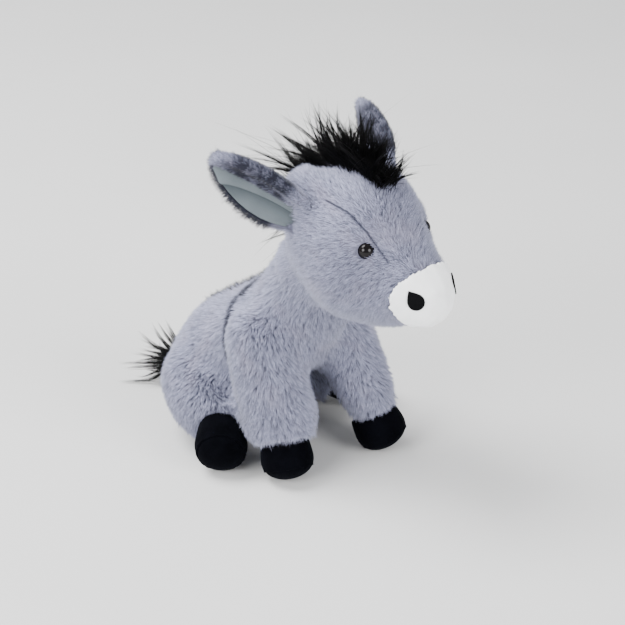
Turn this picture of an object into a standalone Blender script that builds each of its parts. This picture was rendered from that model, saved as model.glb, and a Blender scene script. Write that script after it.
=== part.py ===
"""Seated plush donkey, a soft toy about 29 cm tall: one solid for every sewn piece.

The toy faces -Y, its left side is +X, and it sits on the plane z = 0.
Lengths are given in millimetres and scaled to metres by MM. Positions are
given from a point on the floor between the fore hooves (+Y runs back to the
tail), and the finished toy is moved so that the origin lies under the middle
of its outline. The outlines are those of the pile tips.
"""

import math

import bmesh
import bpy
from mathutils import Matrix, Vector

MM = 0.001
GAP = 0.3                    # clearance between neighbouring pieces
LEG_GAP = 0.6                # clearance between a leg and the body it is parted from
PRESS = 0.6                  # how far soft soles and rump are pressed flat by the floor
BIG = 500.0                  # edge of the blocks that stand for a half space

BODY_VOXEL = 3.0             # grain of the fused body before it is thinned out
BODY_FACES = 2150            # triangles of the fused body after thinning
REGION_SWELL = 2             # how far a leg's cutter stands out of the leg
REGION_FACES = 220
HAIR_VOXEL = 1.8             # grain of the mane, the tail and its tuft
SHARP = 35                   # degrees between faces that show as an edge

# Sides of the toy: name and sign of x.
SIDES = (("right", -1), ("left", 1))

# Torso and neck, from rump to throat: centre (y, z) and radii (x, y, z).
TORSO = (
    ((112, 44), (54, 50, 48)),
    ((104, 64), (50, 46, 42)),
    ((67, 87), (45, 31.5, 49)),
    ((43, 106), (40, 39, 41)),
    ((28, 131), (38, 39, 37)),
    ((10, 160), (37, 37, 32)),
)

# Head, from the back of the skull to the end of the snout.
SKULL = ((-28, 189), (49, 46.5, 56))
SNOUT_END = ((-85, 168), (23, 20.5, 21))
HEAD = (
    ((-15, 195), (48, 44, 49)),
    SKULL,
    ((-48, 179), (36, 38, 44)),
    ((-70, 173), (32, 29, 30)),
    SNOUT_END,
)

# Stuffed mounds beside the mane that the ears are sewn against: centre (x outward, y, z), radii.
EAR_MOUND = ((27, -5, 225), (18, 22, 22))

# Fore legs: shoulder, elbow and cuff as centre (x outward, y, z) and radius.
FORE_LEG = {
    "right": (((34, 39, 102), 31), ((37, 30, 72), 30), ((33, 22, 46), 30)),
    "left": (((34, 38, 102), 29), ((38, 22, 72), 27), ((39, 7, 48), 25)),
}

# Hind legs: hip, knee and cuff.
HIND_LEG = {
    "right": (((32, 108, 42), 37), ((42, 92, 36), 34), ((47, 73, 29), 27)),
    "left": (((34, 108, 42), 37), ((48, 94, 36), 34), ((58, 78, 29), 27)),
}

# Hooves are short cones with a domed sole sewn on. A hoof is set out from the
# middle of its sole seam (x outward, y) and the direction it points in.
HOOF_TOP = 18.0              # radius under the cuff
HOOF_RIM = 20.5              # radius at the sole seam
SOLE_DOME = 8.5              # height of the domed sole
FORE_AXIS = (0.2, -0.43, -0.88)
HIND_AXIS = (0.67, -0.70, -0.24)
FORE_HOOF = {"right": (40.5, 6.5), "left": (44.5, -9)}
HIND_HOOF = {"right": (72, 46), "left": (84, 52)}
FORE_WALL = 21.0             # length of the hoof from cuff to seam
HIND_WALL = 26.0

# Planes that part the body: a point (y, z) and a normal (y, z) towards the head.
NECK_CUT = ((40, 112), (-0.35, 0.94))
HEAD_CUT = ((0, 152), (-0.45, 0.89))
# The muzzle lies in front of an upright drum, so that its seam runs back along the cheeks:
# a point of the drum's axis (y, z), the axis's way (y, z) and the radius.
MUZZLE_SEAM = ((-40.4, 173), (-0.05, 1), 50)
DRUM_STEPS = 48

EYE_AT = (33.9, -59.1, 204.1)    # middle of the front of the bead, x outward
EYE_RADIUS = 6.0
EYE_PROUD = 1.8              # how far the bead stands out past that point
NOSTRIL_AT = (18.4, -95.8, 173.6)
NOSTRIL_LENGTH = 15.0
NOSTRIL_WIDTH = 11.5
NOSTRIL_THICK = 0.8
NOSTRIL_TAPER = 0.9          # part of its width that the teardrop loses at its point
NOSTRIL_SLANT = 0.75         # lean of the teardrop's point away from the middle
NOSTRIL_CUTTER = 24.0        # depth of the block that the stitching is cut from

# Ears: root and tip (x outward, y, z), widest half width and wall.
EAR_ROOT = (36, 0, 216)
EAR_TIP = {"right": (75.5, 47, 255), "left": (75.5, 53, 256)}
EAR_FACES = (0.74, -0.67, 0.0)   # way the open side looks, x outward
EAR_HALF_WIDTH = 19.5
EAR_LEAF = (0.16, 0.9, 0.62) # leaf outline: width kept at the root, place of the widest part, fullness
EAR_REACH = (-0.1, 0.97)     # start and end of the wall, as shares from root to tip
EAR_WALL = 5.5
EAR_CURL = (72, 48)          # bend of the upper and of the lower edge, degrees
EAR_OPENING = (1.35, 0.45)   # share of that bend at the root, and how much is gone at the tip
LINING_WALL = 1.2
LINING_ROOM = 1.0            # clearance between the lining and the bent wall behind it
LINING_SHARE = 0.80          # part of the ear's width that the lining covers
LINING_REACH = (0.04, 0.90)

# Mane: locks that stand out of the skull along its middle line. Angles are
# degrees from straight up, positive towards the face.
MANE_SPAN = (24, -88)
MANE_FOOT = ((5, 13, 13), 9)     # radii of the strip at the skull and its height
MANE_MASS = ((11, 12, 13), 22)   # radii of the dense hair above it and its height
MANE_HAIR = (40, 56)         # length of the locks at the ends and near the crown
MANE_LOCKS = 15
MANE_PEAK = 0.8              # below 1 the mane is fullest in front of its middle
MANE_ENDS = 0.6              # share of its thickness that the mane keeps at its ends
MANE_LEAN = 0.3              # how far the outer locks lean to the sides
MANE_FACES = 500
LOCK_ROOT = 8.0              # radius of a lock of the mane where it grows
LOCK_TIP = 0.4

# Tail: a short plush stem and a tuft of long hair that lies on the floor.
TAIL_ROOT = (0, 150, 34)
TAIL_END = (0, 178, 19)
TAIL_RADIUS = 8.5
TAIL_FACES = 90
TAIL_HAIR = 56.0
TAIL_LOCKS = 11
TAIL_MASS = ((15, 22, 12), (0, 16, -4))   # dense part of the tuft: radii and place from the stem's end
TAIL_FAN = (0.50, 0.16)      # how far the locks spread sideways and in height
TAIL_FALL = 0.27             # how far the tuft drops towards the floor
TAIL_SHORT = 0.9             # length of every second lock, as a share of the others
TAIL_LOCK = 7.2              # radius of a lock where it leaves the stem
TAIL_SINK = 4.0              # how deep the locks start inside the stem
TUFT_FACES = 340

PLUSH = ("grey_plush", (0.44, 0.46, 0.55, 1), 0.95)
WHITE = ("white_plush", (0.83, 0.85, 0.87, 1), 0.9)
BLACK_CLOTH = ("hoof_cloth", (0.012, 0.013, 0.017, 1), 0.85)
HAIR = ("black_hair", (0.008, 0.008, 0.009, 1), 0.7)
LINING = ("lining_cloth", (0.30, 0.34, 0.36, 1), 0.9)
THREAD = ("black_thread", (0.01, 0.01, 0.01, 1), 0.6)
BEAD = ("eye_bead", (0.006, 0.006, 0.007, 1), 0.08)


def clear_scene():
    for obj in list(bpy.data.objects):
        bpy.data.objects.remove(obj)


def place(obj, matrix):
    """Moves an object's mesh by a matrix and leaves the object at the origin."""
    obj.data.transform(matrix)
    obj.matrix_world = Matrix.Identity(4)
    return obj


def outward(point, sign):
    """A point given with x outward, on the side with that sign of x."""
    return Vector((sign * point[0], point[1], point[2]))


def apply(obj, modifier):
    bpy.context.view_layer.objects.active = obj
    bpy.ops.object.modifier_apply(modifier=modifier.name)


def carve(obj, cutter, operation="DIFFERENCE"):
    cut = obj.modifiers.new("Carve", "BOOLEAN")
    cut.operation = operation
    cut.object = cutter
    apply(obj, cut)


def copy_of(obj, name="cutter"):
    twin = bpy.data.objects.new(name, obj.data.copy())
    bpy.context.scene.collection.objects.link(twin)
    return twin


def swollen(obj, amount):
    """A cutter like obj whose surface lies an amount further out."""
    cutter = copy_of(obj)
    swell = cutter.modifiers.new("Swell", "DISPLACE")
    swell.mid_level = 0
    swell.strength = amount * MM
    apply(cutter, swell)
    return cutter


def keep_largest(obj):
    """Deletes the slivers that a cut can leave beside the main body."""
    form = bmesh.new()
    form.from_mesh(obj.data)
    waiting = set(form.faces)
    islands = []
    while waiting:
        island, edge = set(), [waiting.pop()]
        while edge:
            face = edge.pop()
            island.add(face)
            near = {other for side in face.edges for other in side.link_faces} & waiting
            waiting -= near
            edge += near
        islands.append(island)
    islands.sort(key=len)
    for island in islands[:-1]:
        bmesh.ops.delete(form, geom=list(island), context="FACES")
    form.to_mesh(obj.data)
    form.free()


def drop(*objects):
    for obj in objects:
        bpy.data.objects.remove(obj)


def ball(centre, radii, rings=16):
    """An ellipsoid, as a mesh object."""
    bpy.ops.mesh.primitive_uv_sphere_add(segments=2 * rings, ring_count=rings, radius=1)
    size = Matrix.Diagonal((*(radius * MM for radius in radii), 1))
    return place(bpy.context.object, Matrix.Translation(Vector(centre) * MM) @ size)


def half_space(point, normal):
    """A big block whose one face goes through point, on the side of the normal."""
    bpy.ops.mesh.primitive_cube_add(size=BIG * MM)
    turn = Vector((0, 0, 1)).rotation_difference(Vector(normal).normalized()).to_matrix().to_4x4()
    lift = Matrix.Translation((0, 0, BIG / 2 * MM))
    return place(bpy.context.object, Matrix.Translation(Vector(point) * MM) @ turn @ lift)


def between(a, b, share):
    return tuple(p + (q - p) * share for p, q in zip(a, b))


def chain(stations, steps=4):
    """A row of overlapping balls through (centre, radii) stations."""
    balls = []
    for (centre, radii), (next_centre, next_radii) in zip(stations, stations[1:]):
        for step in range(steps):
            share = step / steps
            balls.append(ball(between(centre, next_centre, share), between(radii, next_radii, share)))
    balls.append(ball(*stations[-1]))
    return balls


def fuse(parts, name, voxel, faces, relax=6):
    """Joins overlapping meshes into one closed form and thins it out."""
    bpy.ops.object.select_all(action="DESELECT")
    for part in parts:
        part.select_set(True)
    bpy.context.view_layer.objects.active = parts[0]
    bpy.ops.object.join()
    form = bpy.context.object
    form.name = name
    remesh = form.modifiers.new("Fuse", "REMESH")
    remesh.mode = "VOXEL"
    remesh.voxel_size = voxel * MM
    apply(form, remesh)
    if relax:
        smooth = form.modifiers.new("Relax", "SMOOTH")
        smooth.factor = 0.5
        smooth.iterations = relax
        apply(form, smooth)
    thin = form.modifiers.new("Thin", "DECIMATE")
    thin.ratio = faces / (2 * len(form.data.polygons))
    apply(form, thin)
    return form


def leg_stations(leg, sign, swell=0):
    return [(outward(centre, sign), (radius + swell,) * 3) for centre, radius in leg]


def fused_body():
    balls = chain([((0, *centre), radii) for centre, radii in TORSO])
    balls += chain([((0, *centre), radii) for centre, radii in HEAD])
    for side, sign in SIDES:
        mound, radii = EAR_MOUND
        balls.append(ball(outward(mound, sign), radii))
        balls += chain(leg_stations(FORE_LEG[side], sign))
        balls += chain(leg_stations(HIND_LEG[side], sign))
    return fuse(balls, "body", BODY_VOXEL, BODY_FACES)


def part_off(body, region, name):
    """Takes the part of body inside region into a new object, with a gap around it."""
    piece = copy_of(body, name)
    carve(piece, region, "INTERSECT")
    wide = swollen(region, LEG_GAP)
    carve(body, wide)
    drop(wide)
    return piece


def part_at_plane(body, cut, name):
    """Takes the part of body in front of a plane into a new object, with a gap."""
    (y, z), (normal_y, normal_z) = cut
    normal = Vector((0, normal_y, normal_z)).normalized()
    front = half_space((0, y, z), normal)
    near = half_space(Vector((0, y, z)) - normal * GAP, normal)
    piece = copy_of(body, name)
    carve(piece, front, "INTERSECT")
    carve(body, near)
    drop(front, near)
    return piece


def cap_the_snout(head):
    """Takes the part of head in front of the drum into a new object, with a gap."""
    (y, z), (way_y, way_z), radius = MUZZLE_SEAM
    turn = Vector((0, 0, 1)).rotation_difference(Vector((0, way_y, way_z))).to_matrix().to_4x4()
    muzzle = copy_of(head, "muzzle")
    for piece, size, operation in ((muzzle, radius, "INTERSECT"), (head, radius - GAP, "DIFFERENCE")):
        front = half_space((0, y, z), (0, -1, 0))
        bpy.ops.mesh.primitive_cylinder_add(vertices=DRUM_STEPS, radius=size * MM, depth=BIG / 2 * MM)
        drum = place(bpy.context.object, Matrix.Translation(Vector((0, y, z)) * MM) @ turn)
        carve(front, drum)
        carve(piece, front, operation)
        drop(front, drum)
    return muzzle


def seat_height(axis):
    """Height of the middle of the sole seam above the floor when the hoof rests."""
    sphere = (HOOF_RIM ** 2 + SOLE_DOME ** 2) / (2 * SOLE_DOME)
    down = -axis.z
    if down > math.sqrt(1 - (HOOF_RIM / sphere) ** 2):
        return sphere - down * (sphere - SOLE_DOME) - PRESS
    return HOOF_RIM * math.sqrt(1 - down ** 2) - PRESS


def turned(name, profile, steps=18):
    """A turned solid about z from (radius, height) points, listed top to bottom."""
    mesh = bpy.data.meshes.new(name)
    points = [(radius * MM, 0, height * MM) for radius, height in profile]
    mesh.from_pydata(points, [(i, i + 1) for i in range(len(points) - 1)], [])
    obj = bpy.data.objects.new(name, mesh)
    bpy.context.scene.collection.objects.link(obj)
    screw = obj.modifiers.new("Turn", "SCREW")
    screw.steps = screw.render_steps = steps
    screw.use_merge_vertices = True
    screw.merge_threshold = 0.00001
    apply(obj, screw)
    return obj


def hoof_and_sole(kind, side, sign, seam, direction, wall, floor):
    """The hoof and its sole, and the plane that ends the plush leg above them."""
    axis = outward(direction, sign).normalized()
    middle = Vector((sign * seam[0], seam[1], seat_height(axis)))
    turn = Vector((0, 0, -1)).rotation_difference(axis).to_matrix().to_4x4()
    where = Matrix.Translation(middle * MM) @ turn
    belly = [(HOOF_TOP + (HOOF_RIM - HOOF_TOP) * math.sin(math.radians(a)), wall * (1 - a / 90))
             for a in (0, 22, 45, 68, 90)]
    hoof = turned(f"{kind}_hoof_{side}", [(0, wall)] + belly + [(0, 0)])
    sphere = (HOOF_RIM ** 2 + SOLE_DOME ** 2) / (2 * SOLE_DOME)
    rim = math.asin(HOOF_RIM / sphere)
    dome = [(sphere * math.sin(rim * k / 5), sphere - SOLE_DOME - sphere * math.cos(rim * k / 5))
            for k in (5, 4, 3, 2, 1, 0)]
    sole = turned(f"{kind}_sole_{side}", [(0, -GAP)] + [(r, h - GAP) for r, h in dome])
    for piece in (hoof, sole):
        place(piece, where)
        carve(piece, floor)
    cuff = half_space(middle - axis * (wall + GAP), axis)
    return hoof, sole, cuff


def ear_point(side, sign, share, across, lift):
    """A point of the ear: share from root to tip, across from -1 to 1, lift off the middle."""
    root = outward(EAR_ROOT, sign)
    run = outward(EAR_TIP[side], sign) - root
    length = run.length
    along = run.normalized()
    face = outward(EAR_FACES, sign)
    face = (face - along * face.dot(along)).normalized()
    up = along.cross(face) * -sign
    start, widest, fullness = EAR_LEAF
    half = EAR_HALF_WIDTH * math.sin(math.pi * (start + (1 - start) * share) ** widest) ** fullness
    bend = math.radians(EAR_CURL[0] if across > 0 else EAR_CURL[1])
    bend *= EAR_OPENING[0] - EAR_OPENING[1] * share
    radius = half / math.sin(min(bend, math.pi / 2))
    angle = across * bend
    return (root + along * (length * share) + up * ((radius - lift) * math.sin(angle))
            + face * (radius - (radius - lift) * math.cos(angle)))


def ear_sheet(name, side, sign, across_share, lift, reach, wall):
    """A cupped leaf of even thickness, made from a grid."""
    start, end = reach
    rows, columns = 7, 6
    bpy.ops.mesh.primitive_grid_add(x_subdivisions=rows, y_subdivisions=columns, size=2)
    sheet = bpy.context.object
    sheet.name = name
    for vertex in sheet.data.vertices:
        share = start + (end - start) * (vertex.co.x + 1) / 2
        across = across_share * vertex.co.y
        vertex.co = ear_point(side, sign, share, across, lift) * MM
    shell = sheet.modifiers.new("Wall", "SOLIDIFY")
    shell.thickness = wall * MM
    shell.offset = 0
    apply(sheet, shell)
    return sheet


def lock(root, tip, radius):
    """One tapered lock of hair."""
    run = Vector(tip) - Vector(root)
    bpy.ops.mesh.primitive_cone_add(
        vertices=8, radius1=radius * MM, radius2=LOCK_TIP * MM, depth=run.length * MM)
    turn = Vector((0, 0, 1)).rotation_difference(run).to_matrix().to_4x4()
    return place(bpy.context.object, Matrix.Translation((Vector(root) + run / 2) * MM) @ turn)


def crown_point(angle):
    """A point of the skull in the middle plane and the way straight out of it."""
    (y, z), (_, deep, high) = SKULL
    turn = math.radians(angle)
    point = Vector((0, y - deep * math.sin(turn), z + high * math.cos(turn)))
    return point, Vector((0, -math.sin(turn) / deep, math.cos(turn) / high)).normalized()


def make_mane():
    hair = []
    front, back = MANE_SPAN
    for k in range(MANE_LOCKS):
        share = k / (MANE_LOCKS - 1)
        point, out = crown_point(front + (back - front) * share)
        fullness = math.sin(math.pi * share ** MANE_PEAK)
        for radii, height in (MANE_FOOT, MANE_MASS):
            size = MANE_ENDS + (1 - MANE_ENDS) * fullness
            hair.append(ball(point + out * height * size, [radius * size for radius in radii], rings=8))
        length = MANE_HAIR[0] + (MANE_HAIR[1] - MANE_HAIR[0]) * fullness
        lean = Vector((MANE_LEAN * (k % 3 - 1), 0, 0))
        root = point + out * MANE_FOOT[1]
        hair.append(lock(root, point + (out + lean).normalized() * length, LOCK_ROOT))
    return fuse(hair, "mane", HAIR_VOXEL, MANE_FACES, relax=1)


def make_tail_stem():
    girth = (TAIL_RADIUS,) * 3
    return fuse(chain([(TAIL_ROOT, girth), (TAIL_END, girth)]), "tail", HAIR_VOXEL, TAIL_FACES)


def make_tail_tuft():
    root = Vector(TAIL_END)
    hair = [ball(root + Vector(TAIL_MASS[1]), TAIL_MASS[0], rings=8)]
    for k in range(TAIL_LOCKS):
        turn = 2 * math.pi * k / (TAIL_LOCKS - 1)
        spread = 0 if k == TAIL_LOCKS - 1 else 1
        aside = TAIL_FAN[0] * spread * math.cos(turn)
        up = TAIL_FAN[1] * spread * math.sin(turn) - TAIL_FALL
        way = Vector((aside, 1, up))
        length = TAIL_HAIR * (1 if k % 2 else TAIL_SHORT)
        hair.append(lock(root - way * TAIL_SINK, root + way.normalized() * length, TAIL_LOCK))
    return fuse(hair, "tail_tuft", HAIR_VOXEL, TUFT_FACES, relax=1)


def make_eye(side, sign, head):
    """A round bead set into the head, and the pocket that it sits in."""
    front = outward(EYE_AT, sign)
    middle = Vector((0, *SKULL[0]))
    out = (front - middle).normalized()
    eye = ball(front + out * (EYE_PROUD - EYE_RADIUS), (EYE_RADIUS,) * 3, rings=6)
    eye.name = f"eye_{side}"
    pocket = swollen(eye, GAP)
    carve(head, pocket)
    drop(pocket)
    return eye


def make_nostril(side, sign, muzzle):
    """A teardrop of black stitching that follows the face of the muzzle."""
    at = outward(NOSTRIL_AT, sign)
    out = (at - Vector((0, *SNOUT_END[0]))).normalized()
    bpy.ops.mesh.primitive_cylinder_add(vertices=24, radius=NOSTRIL_WIDTH / 2 * MM, depth=NOSTRIL_CUTTER * MM)
    drop_shape = bpy.context.object
    for vertex in drop_shape.data.vertices:
        if vertex.co.y > 0:
            height = vertex.co.y / (NOSTRIL_WIDTH / 2 * MM)
            vertex.co.x *= 1 - NOSTRIL_TAPER * height ** 2
            vertex.co.y *= 2 * NOSTRIL_LENGTH / NOSTRIL_WIDTH - 1
    side_way = Vector((0, 0, 1)).cross(out).normalized()
    point_way = (out.cross(side_way) + side_way * sign * NOSTRIL_SLANT).normalized()
    frame = Matrix((point_way.cross(out), point_way, out)).transposed().to_4x4()
    place(drop_shape, Matrix.Translation(at * MM) @ frame)
    drop_shape.name = f"nostril_{side}"
    outer = swollen(muzzle, GAP + NOSTRIL_THICK)
    inner = swollen(muzzle, GAP)
    carve(drop_shape, outer, "INTERSECT")
    carve(drop_shape, inner)
    drop(outer, inner)
    return drop_shape


def make_ear(side, sign, head):
    ear = ear_sheet(f"ear_{side}", side, sign, 1, 0, EAR_REACH, EAR_WALL)
    lift = EAR_WALL / 2 + LINING_ROOM + LINING_WALL / 2
    lining = ear_sheet(f"ear_lining_{side}", side, sign, LINING_SHARE, lift, LINING_REACH, LINING_WALL)
    for piece in (ear, lining):
        carve(piece, head)
    return ear, lining


def colour(obj, finish):
    name, rgba, roughness = finish
    material = bpy.data.materials.get(name) or bpy.data.materials.new(name)
    material.use_nodes = True
    shader = material.node_tree.nodes["Principled BSDF"]
    shader.inputs["Base Color"].default_value = rgba
    shader.inputs["Roughness"].default_value = roughness
    shader.inputs["Metallic"].default_value = 0.0
    obj.data.materials.clear()
    obj.data.materials.append(material)


def build():
    floor = half_space((0, 0, 0), (0, 0, -1))
    body = fused_body()
    made = []

    for side, sign in SIDES:
        for name, kind, legs, seams, direction, wall in (
            ("foreleg", "fore", FORE_LEG, FORE_HOOF, FORE_AXIS, FORE_WALL),
            ("hindleg", "hind", HIND_LEG, HIND_HOOF, HIND_AXIS, HIND_WALL),
        ):
            stations = leg_stations(legs[side], sign, REGION_SWELL)
            region = fuse(chain(stations), "region", BODY_VOXEL, REGION_FACES)
            leg = part_off(body, region, f"{name}_{side}")
            hoof, sole, cuff = hoof_and_sole(kind, side, sign, seams[side], direction, wall, floor)
            carve(leg, cuff)
            carve(leg, floor)
            drop(region, cuff)
            made += [(leg, PLUSH), (hoof, BLACK_CLOTH), (sole, BLACK_CLOTH)]

    solids = {obj.name: obj for obj, _ in made}
    for side, _ in SIDES:
        for firm in (f"hind_hoof_{side}", f"hind_sole_{side}"):
            room = swollen(solids[firm], GAP)
            carve(solids[f"foreleg_{side}"], room)
            carve(body, room)
            drop(room)

    neck = part_at_plane(body, NECK_CUT, "neck")
    head = part_at_plane(neck, HEAD_CUT, "head")
    muzzle = cap_the_snout(head)
    trunk = body
    trunk.name = "trunk"
    carve(trunk, floor)
    made += [(trunk, PLUSH), (neck, PLUSH), (muzzle, WHITE)]

    wide_head = swollen(head, GAP)
    mane = make_mane()
    carve(mane, wide_head)
    wide_mane = swollen(mane, GAP)
    made.append((mane, HAIR))
    for side, sign in SIDES:
        ear, lining = make_ear(side, sign, wide_head)
        carve(ear, wide_mane)
        made += [(ear, PLUSH), (lining, LINING)]
        made.append((make_nostril(side, sign, muzzle), THREAD))
        made.append((make_eye(side, sign, head), BEAD))
    made.append((head, PLUSH))

    tuft = make_tail_tuft()
    wide_tuft = swollen(tuft, GAP)
    wide_trunk = swollen(trunk, GAP)
    tail = make_tail_stem()
    carve(tail, wide_tuft)
    carve(tail, wide_trunk)
    carve(tuft, wide_trunk)
    carve(tuft, floor)
    made += [(tail, PLUSH), (tuft, HAIR)]
    drop(wide_head, wide_mane, wide_tuft, wide_trunk, floor)
    return made


def middle_of_outline(objects):
    """The point under the middle of the box round all the objects."""
    corners = [vertex.co for obj in objects for vertex in obj.data.vertices]
    return Vector([(min(c[i] for c in corners) + max(c[i] for c in corners)) / 2 for i in (0, 1)] + [0])


clear_scene()
pieces = build()
shift = middle_of_outline([obj for obj, _ in pieces])
toy = bpy.data.collections.new("plush_donkey")
bpy.context.scene.collection.children.link(toy)
for obj, finish in pieces:
    keep_largest(obj)
    place(obj, Matrix.Translation(-shift))
    colour(obj, finish)
    for collection in list(obj.users_collection):
        collection.objects.unlink(obj)
    toy.objects.link(obj)
    obj.data.shade_smooth()
    obj.data.set_sharp_from_angle(angle=math.radians(SHARP))
    print(f"{obj.name}: {len(obj.data.polygons)} faces")
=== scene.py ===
# %% [markdown]
# # A seated plush donkey, dressed
# The CAD model gives every sewn piece of the toy as a plain solid at its real size. This
# script loads those solids as a fixed frame and makes what a hand would feel: stuffed
# cloth, pile, hair, stitches and beads. All lengths are in metres in the same frame: the toy
# looks along -Y, its left side is +X, and it sits on z = 0.

import math

import bpy
import numpy as np
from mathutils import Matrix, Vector
from mathutils import noise as soft_noise
from mathutils.bvhtree import BVHTree
from mathutils.kdtree import KDTree


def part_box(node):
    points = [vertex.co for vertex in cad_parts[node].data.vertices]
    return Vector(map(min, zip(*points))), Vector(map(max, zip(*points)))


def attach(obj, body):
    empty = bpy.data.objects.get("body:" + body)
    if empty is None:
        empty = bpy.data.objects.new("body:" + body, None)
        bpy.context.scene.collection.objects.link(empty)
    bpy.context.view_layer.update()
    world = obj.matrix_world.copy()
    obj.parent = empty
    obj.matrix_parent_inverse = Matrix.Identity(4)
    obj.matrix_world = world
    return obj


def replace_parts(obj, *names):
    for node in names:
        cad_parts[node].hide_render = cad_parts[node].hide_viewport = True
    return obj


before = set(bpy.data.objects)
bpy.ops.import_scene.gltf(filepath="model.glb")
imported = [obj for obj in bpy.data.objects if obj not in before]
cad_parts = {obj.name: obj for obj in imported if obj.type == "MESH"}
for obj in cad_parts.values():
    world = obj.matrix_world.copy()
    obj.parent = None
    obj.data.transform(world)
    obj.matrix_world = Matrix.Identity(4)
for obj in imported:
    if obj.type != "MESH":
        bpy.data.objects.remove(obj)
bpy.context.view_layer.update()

MM = 0.001
FAR = 1e9                                        # further than anything on the toy
SIDES = (("right", -1), ("left", 1))
head_low, head_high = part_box("head")
MIDDLE = (head_low.x + head_high.x) / 2          # the plane that mirrors the toy


# %% [markdown]
# ## Camera, floor and light
# A small toy is best seen from a little above with a long lens, which keeps the nose from
# growing. The camera is placed by an aim point inside the toy, a heading and an elevation,
# so that moving it later means changing one number and not three.

# %% Camera
AIM = Vector((0.0171, -0.0144, 0.1017))
HEADING = math.radians(44)        # turned from straight in front towards the right side
ELEVATION = math.radians(26)
DISTANCE = 1.4
LENS = 107.5

camera = bpy.data.objects.new("camera", bpy.data.cameras.new("camera"))
bpy.context.scene.collection.objects.link(camera)
bpy.context.scene.camera = camera
camera.data.lens = LENS
camera.data.clip_start, camera.data.clip_end = 0.05, 50
back_of_view = Vector((-math.sin(HEADING) * math.cos(ELEVATION),
                       -math.cos(HEADING) * math.cos(ELEVATION), math.sin(ELEVATION)))
camera.location = AIM + back_of_view * DISTANCE
camera.rotation_euler = (-back_of_view).to_track_quat("-Z", "Y").to_euler()
print("camera at", [round(c, 3) for c in camera.location])


# %% [markdown]
# A helper adds shader nodes. It takes numbers and colours as settings of the node's sockets
# and makes a link wherever it is given another node's output.

# %% Shader node helper
def shade(material, kind, inputs=(), **settings):
    """Adds a node to a material, sets its sockets by name or number and returns it."""
    made = material.node_tree.nodes.new(kind)
    for name, value in settings.items():
        setattr(made, name, value)
    for socket, value in dict(inputs).items():
        if isinstance(value, bpy.types.NodeSocket):
            material.node_tree.links.new(value, made.inputs[socket])
        else:
            made.inputs[socket].default_value = value
    return made


def new_material(name, roughness, **constants):
    """A Principled material; what is the same all over is set on the shader's own sockets."""
    material = bpy.data.materials.new(name)
    material.use_nodes = True
    shader = material.node_tree.nodes["Principled BSDF"]
    shader.inputs["Roughness"].default_value = roughness
    for socket, value in constants.items():
        shader.inputs[socket.replace("_", " ")].default_value = value
    return material, shader


def noise(material, scale, detail=3.0, stretch=(1, 1, 1), roughness=0.55):
    """Noise on Object coordinates, so it stays on the piece."""
    place = shade(material, "ShaderNodeTexCoord").outputs["Object"]
    if stretch != (1, 1, 1):
        place = shade(material, "ShaderNodeMapping", {0: place, "Scale": stretch}).outputs[0]
    settings = {"Vector": place, "Scale": scale, "Detail": detail, "Roughness": roughness}
    return shade(material, "ShaderNodeTexNoise", settings).outputs["Fac"]


def between(material, amount, first, second):
    """A colour mixed from two colours or colour sockets by an amount from 0 to 1."""
    settings = {0: amount, 6: first, 7: second}
    return shade(material, "ShaderNodeMix", settings, data_type="RGBA", clamp_factor=True).outputs[2]


def ranged(material, value, low, high, start=0.0, end=1.0):
    """Maps low..high of a value to start..end and holds it there."""
    settings = {0: value, 1: low, 2: high, 3: start, 4: end}
    return shade(material, "ShaderNodeMapRange", settings).outputs[0]


def carried(material, name, output="Fac"):
    """A number, or a vector, that the mesh carries for each vertex under that name."""
    return shade(material, "ShaderNodeAttribute", attribute_name=name).outputs[output]


def painted(material, shader, colour):
    """Gives the surface its colour."""
    material.node_tree.links.new(colour, shader.inputs["Base Color"])


def bumped(material, shader, height, strength, distance):
    """Lets the light see a height as bumps of that depth."""
    settings = {"Height": height, "Strength": strength, "Distance": distance}
    bump = shade(material, "ShaderNodeBump", settings).outputs[0]
    material.node_tree.links.new(bump, shader.inputs["Normal"])


print("shader helpers ready")


# %% [markdown]
# The stage is a plain pale floor that runs far behind the toy, so no horizon shows. Three
# broad lights, above, to the left and in front, give the soft shade of a light tent; the
# world fills the rest, as white walls would.

# %% Floor and lights
FLOOR_SIZE = 14.0
FLOOR_DROP = 0.0002              # keeps the pressed soles from sharing the floor's plane
LIGHTS = (                       # name, place, size, power in watts
    ("light_above", (-0.7, 0.9, 2.1), 1.6, 100),
    ("light_left", (-2.3, -0.2, 1.2), 1.5, 70),
    ("light_front", (0.2, -2.4, 1.0), 1.5, 62),
)

bpy.ops.mesh.primitive_plane_add(size=FLOOR_SIZE, location=(0, 0, -FLOOR_DROP))
floor = bpy.context.object
floor.name = "floor"
paper, paper_shader = new_material("floor_paper", 0.9)
grain = ranged(paper, noise(paper, 3, 2), 0.3, 0.7, 0.0, 1.0)
paper_colour = between(paper, grain, (0.69, 0.69, 0.685, 1), (0.72, 0.72, 0.715, 1))
painted(paper, paper_shader, paper_colour)
floor.data.materials.append(paper)

for name, place, size, power in LIGHTS:
    light = bpy.data.objects.new(name, bpy.data.lights.new(name, "AREA"))
    bpy.context.scene.collection.objects.link(light)
    light.data.shape = "DISK"
    light.data.size = size
    light.data.energy = power
    light.location = place
    light.rotation_euler = (AIM - Vector(place)).to_track_quat("-Z", "Y").to_euler()

world = bpy.data.worlds.new("white_room")
bpy.context.scene.world = world
world.use_nodes = True
world.node_tree.nodes["Background"].inputs["Color"].default_value = (0.96, 0.97, 1.0, 1)
world.node_tree.nodes["Background"].inputs["Strength"].default_value = 0.66
print("stage has", len(LIGHTS), "lights")


# %% [markdown]
# ## Working with meshes
# Blender's operators act on all that is selected, and the loader leaves its solids selected,
# so each helper below starts from an empty selection. Two more helpers move whole arrays of
# points in and out of a mesh, which is far quicker than visiting vertices one by one.

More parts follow.
